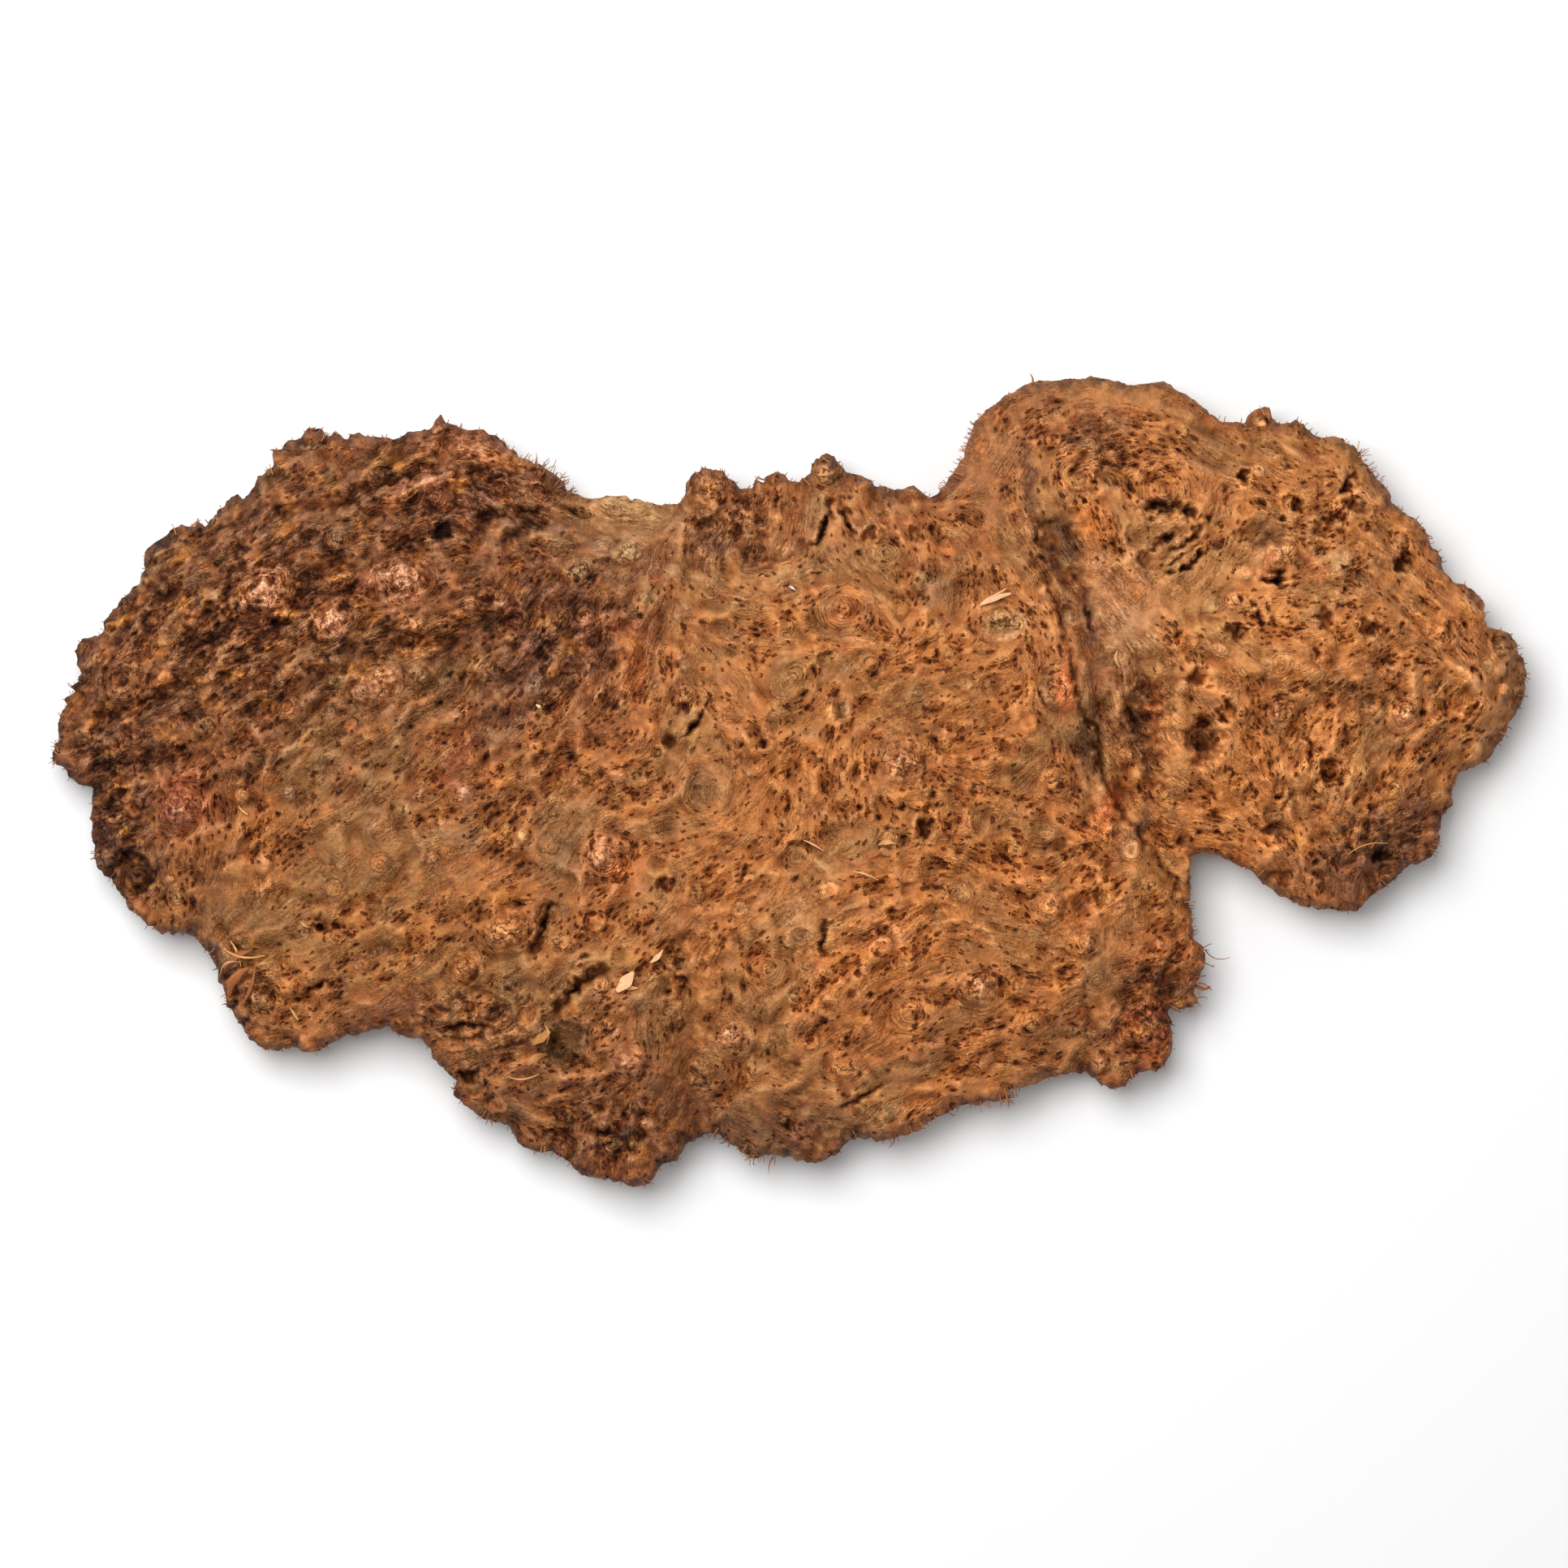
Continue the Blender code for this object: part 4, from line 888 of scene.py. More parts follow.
def shaded(colour, factor):
    """A colour made lighter and paler, or darker and redder, as such wood does."""
    return colour * np.maximum(factor, 0.02)[:, None] ** SHADE


# Broad tones: centre, radii, colour
TONES = [
    (330, 700, 300, 200, (120, 74, 49)), (180, 960, 140, 160, (116, 70, 46)),
    (560, 620, 160, 110, (122, 74, 52)), (500, 880, 220, 120, (128, 82, 53)),
    (400, 1110, 220, 120, (150, 98, 60)), (340, 1240, 110, 60, (152, 96, 58)),
    (700, 820, 130, 130, (130, 80, 56)), (720, 1000, 160, 120, (156, 100, 62)),
    (1000, 950, 220, 260, (166, 105, 62)), (950, 650, 170, 80, (150, 94, 60)),
    (1140, 1220, 260, 130, (182, 114, 68)), (760, 1240, 150, 90, (142, 90, 56)),
    (740, 1390, 150, 80, (128, 78, 50)), (1215, 560, 80, 120, (150, 98, 64)),
    (1345, 820, 46, 150, (142, 94, 64)), (1390, 600, 150, 90, (164, 104, 64)),
    (1600, 740, 240, 200, (180, 116, 70)), (1620, 980, 220, 110, (194, 124, 74)),
    (1420, 1260, 70, 90, (152, 88, 54)), (1700, 1080, 120, 50, (142, 88, 60)),
    (768, 610, 80, 40, (176, 128, 92)), (960, 1400, 110, 40, (128, 80, 54))]
PINK, RED, ORANGE, OCHRE = (204, 134, 100), (150, 78, 52), (196, 112, 54), (178, 112, 54)
PURPLE, GREY, OLIVE = (104, 68, 60), (112, 92, 76), (134, 100, 66)
PALE, DARK, BLACK, RUST = (198, 158, 118), (84, 52, 38), (48, 30, 24), (176, 92, 50)
BROWN, CHANNEL, PITTED = (150, 96, 60), (146, 108, 72), (182, 108, 54)
TONE_SPREAD = 1.15
# Patches: centre, radii, turn, colour, strength
PATCHES = [
    (585, 545, 56, 20, -20, PINK, 0.7), (528, 582, 16, 12, 0, PINK, 0.6),
    (502, 719, 32, 32, 0, PINK, 0.75), (333, 732, 30, 34, 20, PINK, 0.9),
    (421, 768, 22, 20, 0, PINK, 0.9), (476, 846, 34, 24, 25, PINK, 0.55),
    (1112, 937, 26, 24, 0, PINK, 0.5), (905, 1275, 22, 20, 0, PINK, 0.6),
    (781, 1305, 22, 18, 0, PINK, 0.6), (1090, 1150, 20, 14, 0, PINK, 0.45),
    (1560, 690, 26, 14, 0, PINK, 0.4), (770, 1215, 18, 12, 0, PINK, 0.5),
    (747, 1055, 22, 22, 0, PINK, 0.75), (1041, 754, 18, 22, 0, RUST, 0.7),
    (580, 976, 13, 12, 0, PINK, 0.8), (1725, 880, 20, 18, 0, PINK, 0.5),
    (1207, 1214, 24, 24, 0, PINK, 0.45), (230, 990, 38, 36, 0, (164, 88, 64), 0.8),
    (505, 1235, 36, 24, 20, RED, 0.6), (455, 730, 18, 16, 0, RED, 0.6),
    (545, 613, 18, 14, 0, RED, 0.7), (768, 775, 36, 14, 0, RED, 0.55),
    (570, 938, 40, 13, 55, RED, 0.7), (1364, 996, 13, 38, -25, (224, 126, 76), 0.85),
    (1308, 850, 13, 32, 0, (224, 122, 74), 0.9), (1418, 1267, 40, 38, 0, (168, 86, 52), 0.7),
    (1359, 1318, 18, 16, 0, (150, 84, 54), 0.6), (154, 836, 24, 28, 0, (168, 104, 66), 0.5),
    (785, 830, 18, 32, 0, ORANGE, 0.6), (768, 1072, 14, 12, 0, ORANGE, 0.8),
    (580, 1191, 20, 18, 0, ORANGE, 0.5), (1345, 660, 20, 16, 0, ORANGE, 0.5),
    (480, 625, 30, 14, 30, ORANGE, 0.35), (333, 1090, 26, 10, 40, ORANGE, 0.45),
    (470, 1095, 24, 10, 40, ORANGE, 0.45), (340, 1010, 22, 9, 40, ORANGE, 0.45),
    (632, 1145, 32, 28, 0, (202, 128, 78), 0.65), (660, 830, 90, 26, 55, PURPLE, 0.6),
    (640, 880, 50, 22, 50, PURPLE, 0.5), (878, 676, 30, 24, 0, PURPLE, 0.55),
    (1264, 590, 9, 58, 5, (96, 62, 56), 0.75), (1338, 762, 9, 34, 10, PURPLE, 0.85),
    (1400, 724, 16, 8, 0, PURPLE, 0.5), (1565, 880, 13, 20, 0, PURPLE, 0.5),
    (1862, 795, 14, 12, 0, PURPLE, 0.4), (1650, 1078, 38, 34, 0, (118, 72, 54), 0.7),
    (1738, 1022, 46, 36, 0, (112, 66, 50), 0.8), (1693, 1009, 14, 12, 0, PURPLE, 0.5),
    (700, 760, 60, 50, 0, (108, 68, 52), 0.5), (790, 700, 60, 24, -10, (120, 76, 56), 0.45),
    (600, 830, 50, 60, 0, (112, 74, 52), 0.4), (740, 850, 40, 50, 20, (124, 78, 54), 0.4),
    (700, 1110, 60, 20, 20, PURPLE, 0.3), (765, 625, 60, 22, 0, PALE, 0.7),
    (775, 672, 16, 10, 0, PALE, 0.5), (716, 702, 12, 10, 0, PALE, 0.5),
    (800, 732, 12, 10, 0, PALE, 0.4), (1370, 708, 34, 20, -20, (188, 132, 94), 0.6),
    (1388, 770, 34, 44, 20, (170, 122, 92), 0.6), (1645, 690, 22, 12, 0, PALE, 0.6),
    (1238, 776, 24, 18, 0, PALE, 0.55), (1089, 1038, 16, 12, 0, PALE, 0.4),
    (1015, 1080, 18, 22, 0, PALE, 0.3), (985, 1120, 26, 20, 0, PALE, 0.25),
    (669, 872, 6, 6, 0, PALE, 0.9), (530, 1032, 34, 12, 10, PALE, 0.4),
    (860, 708, 34, 6, -10, PALE, 0.4), (975, 708, 40, 5, 10, PALE, 0.4),
    (1332, 910, 12, 32, 0, BLACK, 0.8), (1402, 1022, 9, 34, -35, (84, 64, 56), 0.85),
    (580, 1025, 24, 24, 40, GREY, 0.5), (700, 1040, 18, 40, -20, GREY, 0.6),
    (640, 1200, 30, 24, 0, OLIVE, 0.6), (1150, 725, 22, 26, 0, GREY, 0.5),
    (1355, 1190, 22, 26, 0, OLIVE, 0.6), (975, 840, 28, 36, 0, OLIVE, 0.6),
    (1093, 681, 15, 15, 0, OLIVE, 0.6), (872, 968, 18, 16, 0, GREY, 0.5),
    (500, 1060, 90, 22, 30, OLIVE, 0.4), (850, 1240, 22, 80, 0, OLIVE, 0.35),
    (1110, 870, 60, 14, 20, OLIVE, 0.4), (548, 655, 14, 16, 0, BLACK, 0.7),
    (603, 776, 22, 18, 0, DARK, 0.8), (164, 1083, 26, 22, 0, BLACK, 0.8),
    (1303, 672, 26, 38, -20, (62, 42, 34), 0.9), (1398, 885, 17, 46, 0, DARK, 0.7),
    (1412, 950, 10, 30, 0, DARK, 0.6), (1480, 913, 20, 24, 0, DARK, 0.7),
    (1569, 1028, 16, 11, 0, DARK, 0.7), (1712, 1067, 16, 24, 30, BLACK, 0.8),
    (697, 1285, 32, 30, 0, (78, 58, 38), 0.8), (1455, 1220, 18, 22, 0, DARK, 0.7),
    (783, 1400, 16, 12, 0, BLACK, 0.6), (1665, 846, 42, 14, 15, DARK, 0.5),
    (1553, 660, 22, 16, 0, BLACK, 0.6), (955, 1400, 60, 30, -10, (92, 54, 44), 0.65),
    (1426, 628, 20, 8, 10, BLACK, 0.8), (1461, 635, 8, 9, 0, BLACK, 0.7),
    (1340, 640, 22, 18, 0, ORANGE, 0.4), (1420, 868, 9, 30, 5, RUST, 0.7),
    (1340, 520, 50, 30, 0, PURPLE, 0.35),
    (130, 1040, 26, 40, 0, DARK, 0.5), (640, 650, 36, 18, 20, DARK, 0.5),
    (330, 620, 50, 16, 20, DARK, 0.4), (430, 660, 60, 16, 20, DARK, 0.45),
    (240, 880, 70, 18, 25, DARK, 0.4), (440, 800, 60, 14, 30, DARK, 0.45)]


def tinted(colour, weight, tone):
    """Colours mixed with a share of one tone, given as the picture's values."""
    weight = weight[:, None]
    return colour * (1 - weight) + weight * seen(*tone)


def stain(x, y):
    """Colour of the bare surface at places of the picture, and how far a patch holds it."""
    total = np.full(x.shape, 1e-4)
    colour = total[:, None] * seen(*BROWN)
    for cx, cy, rx, ry, tone in TONES:
        weight = bell(oval(x, y, cx, cy, rx, ry) / TONE_SPREAD)
        total = total + weight
        colour = colour + weight[:, None] * seen(*tone)
    colour /= total[:, None]
    edge_x = x + 7 * noise(x / 24, y / 24, 91) + 3 * noise(x / 9, y / 9, 92)
    edge_y = y + 7 * noise(x / 24, y / 24, 93) + 3 * noise(x / 9, y / 9, 94)
    held = np.zeros(x.shape)
    for cx, cy, rx, ry, turn, tone, strength in PATCHES:
        weight = strength / (1 + oval(edge_x, edge_y, cx, cy, rx, ry, turn) ** 5)
        held = np.maximum(held, weight)
        colour = tinted(colour, weight, tone)
    return colour, held


def on_skin(values):
    """A map's values at the points of the skin."""
    return read_map(values, seat_x, seat_y)


# Shares of the tints, and how far a patch keeps blots and tints off
BUD_SHARE, CHANNEL_SHARE, PITTED_SHARE = 0.35, 0.45, 0.45
OFF_BLOTS, OFF_TINTS = 0.5, 0.8
# How much each mark lightens or darkens the wood; rises, ridges, wall lumps, cracks and pits give
# painted light and shade
SWING_LIGHT, KNOB_LIGHT, LUMP_PAINTED_LIGHT, LIP_LIGHT = 0.13, 0.06, 0.26, 0.14
RISE_PAINTED_LIGHT, TORN_RISE_PAINTED_LIGHT, RIDGE_PAINTED_LIGHT = 0.20, 0.16, 0.6
COMB_LIGHT, TORN_COMB_LIGHT = 0.04, 0.06
SPONGE_DARK, CRACK_PAINTED_SHADE, PIT_PAINTED_SHADE = 0.16, 0.66, 0.65

colour, held = stain(seat_x, seat_y)
# Seeded marks drift sideways as they go down the wall
paint_x = seat_x + 75 * (1 - seat_level)
paint_y = seat_y - 90 * (1 - seat_level)
swing = noise(paint_x / 46, paint_y / 46, 95) + 0.7 * noise(paint_x / 21, paint_y / 21, 96)
colour = shaded(colour, 1 + SWING_LIGHT * swing)
torn_here, plain_here = on_skin(rugged), on_skin(plain)
# Small blots of other wood, seeded: pink, orange, purple and olive among the brown
for seed, tone, share, size in (
        (101, PINK, 0.25, 19), (102, ORANGE, 0.32, 19), (103, PURPLE, 0.36, 19),
        (104, OLIVE, 0.4, 19), (105, OCHRE, 0.2 + 0.6 * torn_here, 34),
        (106, DARK, 0.4 * torn_here, 19)):
    blot = (noise(paint_x / size, paint_y / size, seed)
            + 0.6 * noise(2.4 * paint_x / size, 2.4 * paint_y / size, seed + 10))
    share = share * (1 - OFF_BLOTS * held)
    colour = tinted(colour, share * np.clip((blot - 0.28) / 0.35, 0, 1), tone)
for k, (ex, ey, size) in enumerate(buds):
    near = np.flatnonzero((np.abs(seat_x - ex) < 1.6 * size) & (np.abs(seat_y - ey) < 1.6 * size))
    r = np.hypot(seat_x[near] - ex, seat_y[near] - ey) / size
    tone = (PINK, ORANGE, OLIVE, DARK, RUST, PALE)[k * 7 % 6]
    colour[near] = tinted(colour[near], BUD_SHARE * np.exp(-(r / 0.75) ** 4), tone)
# Olive along the channels between the bands, orange where the wood is pitted. Pits go on down
# the wall
on_upper = np.clip(1.6 * seat_level - 0.45, 0, 1)
wall = np.clip(3 * (1 - seat_level), 0, 1) * np.clip(8 * seat_level, 0, 1)
wall_pits = np.clip(0.35 + 1.2 * noise(paint_x / 20, paint_y / 20, 99), 0, 0.9)
sponge_here = np.maximum(on_skin(sponge), wall * (wall_pits * (1 - plain_here)))
channel = np.clip(-np.clip(on_skin(bands), -1.6, 1.6) - 0.1, 0, 1)
channel = CHANNEL_SHARE * (channel * (1 - torn_here) * (1 - sponge_here))
colour = tinted(colour, channel * (1 - OFF_TINTS * held), CHANNEL)
pitted = PITTED_SHARE * on_skin(where_pitted) * (1 - torn_here)
colour = tinted(colour, pitted * (1 - OFF_TINTS * held), PITTED)
# Darker and redder in the sponges, paler on their rims; painted shade in cracks, slits and pits,
# painted light and shade on rises, ridges and the wall's lumps
# Lumps of the wall, as in its shape: painted light where it bulges, painted shade in its dips
lumps_for_painted_light = wall_lumps(seat_x, seat_y, seat_level) * (1 - on_upper)
rise_for_painted_light = on_skin(raised) * on_upper
comb_here = np.clip(on_skin(fine_comb), -2, 2)
for light in (
        1 + KNOB_LIGHT * on_skin(crumbly),
        # Painted light and shade on the wall's lumps
        1 + LUMP_PAINTED_LIGHT * lumps_for_painted_light,
        1 - SPONGE_DARK * sponge_here + LIP_LIGHT * on_skin(sponge_rim),
        # Painted light on rises and ridges, painted shade in hollows
        np.clip(1 + (RISE_PAINTED_LIGHT + TORN_RISE_PAINTED_LIGHT * torn_here) * rise_for_painted_light, 0.35, 1.6),
        np.clip(1 + RIDGE_PAINTED_LIGHT * on_upper * on_skin(ridged), 0.5, 1.4),
        # Painted shade in cracks, slits and creases
        1 - CRACK_PAINTED_SHADE * (0.25 + 0.75 * on_upper) * on_skin(cracks),
        # Painted shade in the pits, deeper pits darker
        1 - PIT_PAINTED_SHADE * np.clip(on_skin(pit_depth) / 1.2, 0, 1),
        1 + (COMB_LIGHT + TORN_COMB_LIGHT * torn_here) * comb_here):
    colour = shaded(colour, light)


def put(name, kind, values):
    """Keeps values on the wood's points, for its material to read."""
    layer = mesh.attributes.new(name, kind, "POINT")
    layer.data.foreach_set("color" if kind == "FLOAT_COLOR" else "vector", values.ravel())


put("stain", "FLOAT_COLOR", np.append(np.clip(colour, 0, 1), np.ones((len(colour), 1)), 1))
put("grain", "FLOAT_VECTOR", np.stack([on_skin(twice_x), on_skin(twice_y), torn_here], 1))
put("eye", "FLOAT_VECTOR", np.stack([
    on_skin(eye_radius), on_skin(eye_number), on_skin(eye_hold)], 1))
put("wear", "FLOAT_VECTOR", np.stack([sponge_here, plain_here, on_skin(crumbly)], 1))
# Places on the skin with the wall folded out flat, so that marks run on down it
_, outward = wall_ways(seat_x, seat_y)
folded = (1 - seat_level) * on_skin(height) * MM
put("flat", "FLOAT_VECTOR", np.stack([
    (seat_x - PX_X) * PX + outward[:, 0] * folded,
    (PX_Y - seat_y) * PX + outward[:, 1] * folded, 0 * folded], 1))

# A flat map of the skin for baking: the top from above, and beside it the underside from below
TOP_SHARE, UNDER_SHARE, MARGIN = 0.99, 0.78, 0.005
length = wood_high.x - wood_low.x
corners = np.empty(len(mesh.loops), dtype=int)
mesh.loops.foreach_get("vertex_index", corners)
faces = corners.reshape(-1, 3)
on_top = np.repeat(seat_level[faces].mean(1) > WIDEST_AT, 3)
across = (points[corners, 0] - wood_low.x) / length
upward = (points[corners, 1] - wood_low.y) / length
width = (wood_high.y - wood_low.y) / length
flat_map = mesh.uv_layers.new(name="OFBake")
coordinates = np.stack([
    MARGIN + np.where(on_top, TOP_SHARE, UNDER_SHARE) * across,
    np.where(on_top, 1 - MARGIN - TOP_SHARE * (width - upward), MARGIN + UNDER_SHARE * upward)], 1)
flat_map.data.foreach_set("uv", coordinates.ravel())


# The wood's finish
# Raw, weathered wood with a dull surface. Streaks and rings of grain, small pits, thin cracks and
# torn slits follow the lie of the grain; pits, splits and seams are darkened with painted shade;
# knobs are crumbly.

# Specks and folds to a metre, and how far in metres they move what is drawn over them
SPECKS, FOLDS = 850.0, 230.0
TORN_BY, FOLDED_BY = 0.0011, 0.007
# Streaks: the size of a cell that has its own, and their fineness along and across the grain
STREAK_CELL = 0.008
STREAK_LONG, STREAK_THIN = 160.0, 1500.0
# Rings of the bud eyes, in radians to a millimetre
RING_PITCH = 6.5
# Pits: the size of a cell that has one, its length and width
PITS_SMALL = (0.0018, 0.00092, 0.00038)
PITS_LARGE = (0.0032, 0.00145, 0.00064)
# Plates on the knobs
PLATE = 0.0056
# How much painted shade darkens pits, splits and seams, the bounds of light and dark, and how
# golden the lips of pits are
PIT_SHADE, DARKEST, LIGHTEST = 0.80, 0.03, 1.45
LIP_GLOW = (0.44, 0.31, 0.02)


class Link:
    """A socket in a material's nodes, so that sums of sockets are written as sums."""

    def __init__(self, tree, socket=None):
        self.tree = tree
        self.socket = socket

    def node(self, kind, settings, values, output=0):
        """Adds a node: its settings first, then the values or links of its sockets."""
        made = self.tree.nodes.new(kind)
        for name, value in settings.items():
            setattr(made, name, value)
        for key, value in values.items():
            if isinstance(value, Link):
                self.tree.links.new(value.socket, made.inputs[key])
            else:
                made.inputs[key].default_value = value
        return Link(self.tree, made.outputs[output])

    def other(self, output):
        """Another output of the node that this socket is on."""
        return Link(self.tree, self.socket.node.outputs[output])

    def math(self, operation, *others):
        """A sum of this number and others."""
        values = dict(enumerate((self, *others)))
        return self.node("ShaderNodeMath", {"operation": operation}, values)

    def vector(self, operation, *others, output=0):
        """A sum of this vector and others."""
        values = dict(enumerate((self, *others)))
        return self.node("ShaderNodeVectorMath", {"operation": operation}, values, output)

    def __add__(self, other):
        return self.math("ADD", other)

    def __sub__(self, other):
        return self.math("SUBTRACT", other)

    def __mul__(self, other):
        return self.math("MULTIPLY", other)

    def __truediv__(self, other):
        return self.math("DIVIDE", other)

    def __rsub__(self, other):
        return self.node("ShaderNodeMath", {"operation": "SUBTRACT"}, {0: other, 1: self})

    __radd__ = __add__
    __rmul__ = __mul__

    def step(self, low, high):
        """0 below low, 1 above high, and smooth between them."""
        return self.node("ShaderNodeMapRange", {"interpolation_type": "SMOOTHSTEP"},
                         {0: self, 1: low, 2: high})

    def toward(self, share, tone):
        """This colour mixed with a share of a tone, given as the picture's values."""
        return self.node("ShaderNodeMix", {"data_type": "RGBA"},
                         {0: share, 6: self, 7: (*seen(*tone), 1.0)}, 2)

    def scaled(self, factor):
        """This vector or colour times a number."""
        return self.node("ShaderNodeVectorMath", {"operation": "SCALE"}, {0: self, 3: factor})

    def joined(self, y, z=0.0):
        """A vector with this number first."""
        return self.node("ShaderNodeCombineXYZ", {}, {0: self, 1: y, 2: z})

    def split(self):
        """The three parts of a vector."""
        x = self.node("ShaderNodeSeparateXYZ", {}, {0: self})
        return x, x.other(1), x.other(2)

    def clouds(self, scale, detail=2.0, roughness=0.5, output=0):
        """Soft seeded clouds over flat places, scale of them to a metre."""
        return self.node("ShaderNodeTexNoise", {"noise_dimensions": "2D"}, {
            "Vector": self, "Scale": scale, "Detail": detail, "Roughness": roughness}, output)

    def cells(self, scale, feature="F1", output=0, **inputs):
        """Distances from scattered middles on flat places, scale of them to a metre."""
        settings = {"voronoi_dimensions": "2D", "feature": feature}
        return self.node("ShaderNodeTexVoronoi", settings,
                         {"Vector": self, "Scale": scale, **inputs}, output)

    def feed(self, name):
        """Leads this socket to an input of the material's shader."""
        self.tree.links.new(self.socket, self.tree.nodes["Principled BSDF"].inputs[name])


def new_finish(name, shine):
    """A new material, and a link to start its nodes from."""
    made = bpy.data.materials.new(name)
    made.use_nodes = True
    made.node_tree.nodes["Principled BSDF"].inputs["Specular IOR Level"].default_value = shine
    return made, Link(made.node_tree)


finish, start = new_finish("burl_wood_weathered", 0.14)


def attribute(name, output):
    """What the skin keeps on its points under a name."""
    return start.node("ShaderNodeAttribute", {"attribute_name": name}, {}, output)


grain_x, grain_y, torn = attribute("grain", 1).split()
radius, number, ringed = attribute("eye", 1).split()
crowd, bare, crumbs = attribute("wear", 1).split()
place = attribute("flat", 1)
half = grain_y.math("ARCTAN2", grain_x) * 0.5
cosine, sine = half.math("COSINE"), half.math("SINE")
along_grain = cosine.joined(sine)
across_grain = (0.0 - sine).joined(cosine)
specks = place.clouds(SPECKS, roughness=0.65, output="Color")
speck, drift, _ = specks.split()
speck = speck - 0.5
torn_place = place.vector("ADD", specks.scaled(TORN_BY))


def from_grain(middle, long, wide):
    """Distances along and across the grain from a cell's middle."""
    offset = torn_place.vector("SUBTRACT", middle)
    along = offset.vector("DOT_PRODUCT", along_grain, output=1) / long
    across = offset.vector("DOT_PRODUCT", across_grain, output=1) / wide
    return along, across


# Streaks: each cell has its own, mirrored about the cell's middle, and they fade at its edge
cells = torn_place.cells(1 / STREAK_CELL)
own = cells.other("Color").scaled(40.0)
along, across = from_grain(cells.other("Position"), 1 / STREAK_LONG, 1 / STREAK_THIN)
drawn = along.math("ABSOLUTE").joined(across.math("ABSOLUTE"))
sure = 1.0 - cells.step(0.35, 0.62)
streak, split_here, _ = drawn.vector("ADD", own).clouds(1.0, output="Color").split()
streak = (streak - 0.5) * sure
splits = (1.0 - (split_here - 0.5).math("ABSOLUTE").step(0.0, 0.045)) * sure
splits = splits * (drift + 0.25 * torn).step(0.46, 0.62) * (0.35 + 0.65 * torn)
rings = (radius * RING_PITCH + number + drift * 3.0).math("SINE")
figure = streak * (1.0 - 0.6 * ringed) * (1.0 - 0.7 * crumbs) + rings * ringed * 0.10


def dashes(size, share):
    """Pits drawn out along the grain, in cells, and the lips round them; share has them."""
    cell_size, long, wide = size
    middle = torn_place.cells(1 / cell_size, output="Position", Randomness=0.9)
    along, across = from_grain(middle, long, wide)
    far = (along * along + across * across).math("SQRT")
    draw, grow, _ = middle.other("Color").split()
    shown = (share - draw).step(-0.02, 0.02)
    deep = 0.45 + 0.65 * grow + 1.2 * speck - far
    return deep.step(-0.02, 0.08) * shown, deep.step(-0.55, -0.08) * shown


small_pits, small_lips = dashes(PITS_SMALL, 0.12 + 0.72 * crowd - 0.35 * bare)
large_pits, large_lips = dashes(PITS_LARGE, 0.02 + 0.32 * crowd + 0.08 * torn - 0.30 * bare)
holes = small_pits.math("MAXIMUM", large_pits)
lips = small_lips.math("MAXIMUM", large_lips) * (1.0 - holes)
# Knobs are cracked into small plates, each of its own tone
folded_place = torn_place.vector("ADD", place.clouds(FOLDS, output="Color").scaled(FOLDED_BY))
plate_tone, _, _ = folded_place.cells(1 / PLATE, output="Color").split()
dome = folded_place.cells(1 / PLATE, "DISTANCE_TO_EDGE")
on_knob = crumbs.step(0.15, 0.6)
seams = (1.0 - dome.step(0.01, 0.10)) * on_knob * drift.step(0.38, 0.58)
holes = holes.math("MAXIMUM", (splits * 0.8).math("MAXIMUM", seams * 0.8))

crumble = speck * (0.7 + 0.8 * crumbs + 0.7 * torn)
lights = 1.04 + figure * (1.6 + 0.4 * torn + 0.6 * bare) + crumble
lights = lights + (plate_tone - 0.4) * on_knob * 0.5
# Painted shade in the pits, splits and seams
lights = (lights * (1.0 - PIT_SHADE * holes)).math("MAXIMUM", DARKEST).math("MINIMUM", LIGHTEST)
red, green, blue = [lights.math("POWER", power) for power in SHADE.tolist()]
wood_colour = attribute("stain", 0).vector("MULTIPLY", red.joined(green, blue))
red, green, blue = [1.0 + glow * lips for glow in LIP_GLOW]
wood_colour = wood_colour.vector("MULTIPLY", red.joined(green, blue))
wood_colour.feed("Base Color")
(0.58 + 0.30 * holes - 0.08 * bare).feed("Roughness")

relief = figure * (1.0 + 1.0 * torn) + crumble * 0.8 + 0.25 * lips - holes
relief = relief + dome.step(0.0, 0.35) * on_knob * 0.7
bumped = start.node("ShaderNodeBump", {}, {"Strength": 1.0, "Distance": 0.001, "Height": relief})
bumped.feed("Normal")

# The sawn face
# The underside shows the figure cut across: pale wood with swirls and dark bud eyes, and the
# shallow marks that the saw left in lines across it.
SAW_PITCH = 1500.0
EYE_CELL, BUD_CELL = 0.017, 0.0042
SWAY = 0.016
FACE, BUDDED, KNOT = (160, 102, 63), (136, 74, 47), (78, 44, 30)
PORE, FUZZ = (52, 30, 22), (205, 160, 116)

sawn_finish, cut = new_finish("burl_wood_sawn", 0.3)
under = cut.node("ShaderNodeTexCoord", {}, {}, "Object")
swayed = under.vector("ADD", under.clouds(45.0, 3.0, output="Color").scaled(SWAY))
eye_cells = swayed.cells(1 / EYE_CELL, "SMOOTH_F1", Smoothness=0.35)
bud_cells = swayed.cells(1 / BUD_CELL)
waves = (eye_cells * 60.0).math("SINE")
cloud = swayed.clouds(22.0, 5.0, 0.62) - 0.5
fibre = swayed.clouds(420.0, 3.0, 0.7) - 0.5
budded = cloud.step(-0.03, 0.10)
knots = (1.0 - eye_cells.step(0.06, 0.22)) * 0.8
knots = knots.math("MAXIMUM", (1.0 - bud_cells.step(0.12, 0.34)) * budded)
pores = 1.0 - swayed.cells(620.0).step(0.12, 0.26)
tone = 1.0 + 1.3 * cloud + (0.05 + 0.16 * budded) * waves + 0.8 * fibre
face = cut.node("ShaderNodeVectorMath", {"operation": "SCALE"}, {0: tuple(seen(*FACE)), 3: tone})
face = face.toward(budded * 0.45, BUDDED)
face = face.toward(knots * 0.8, KNOT)
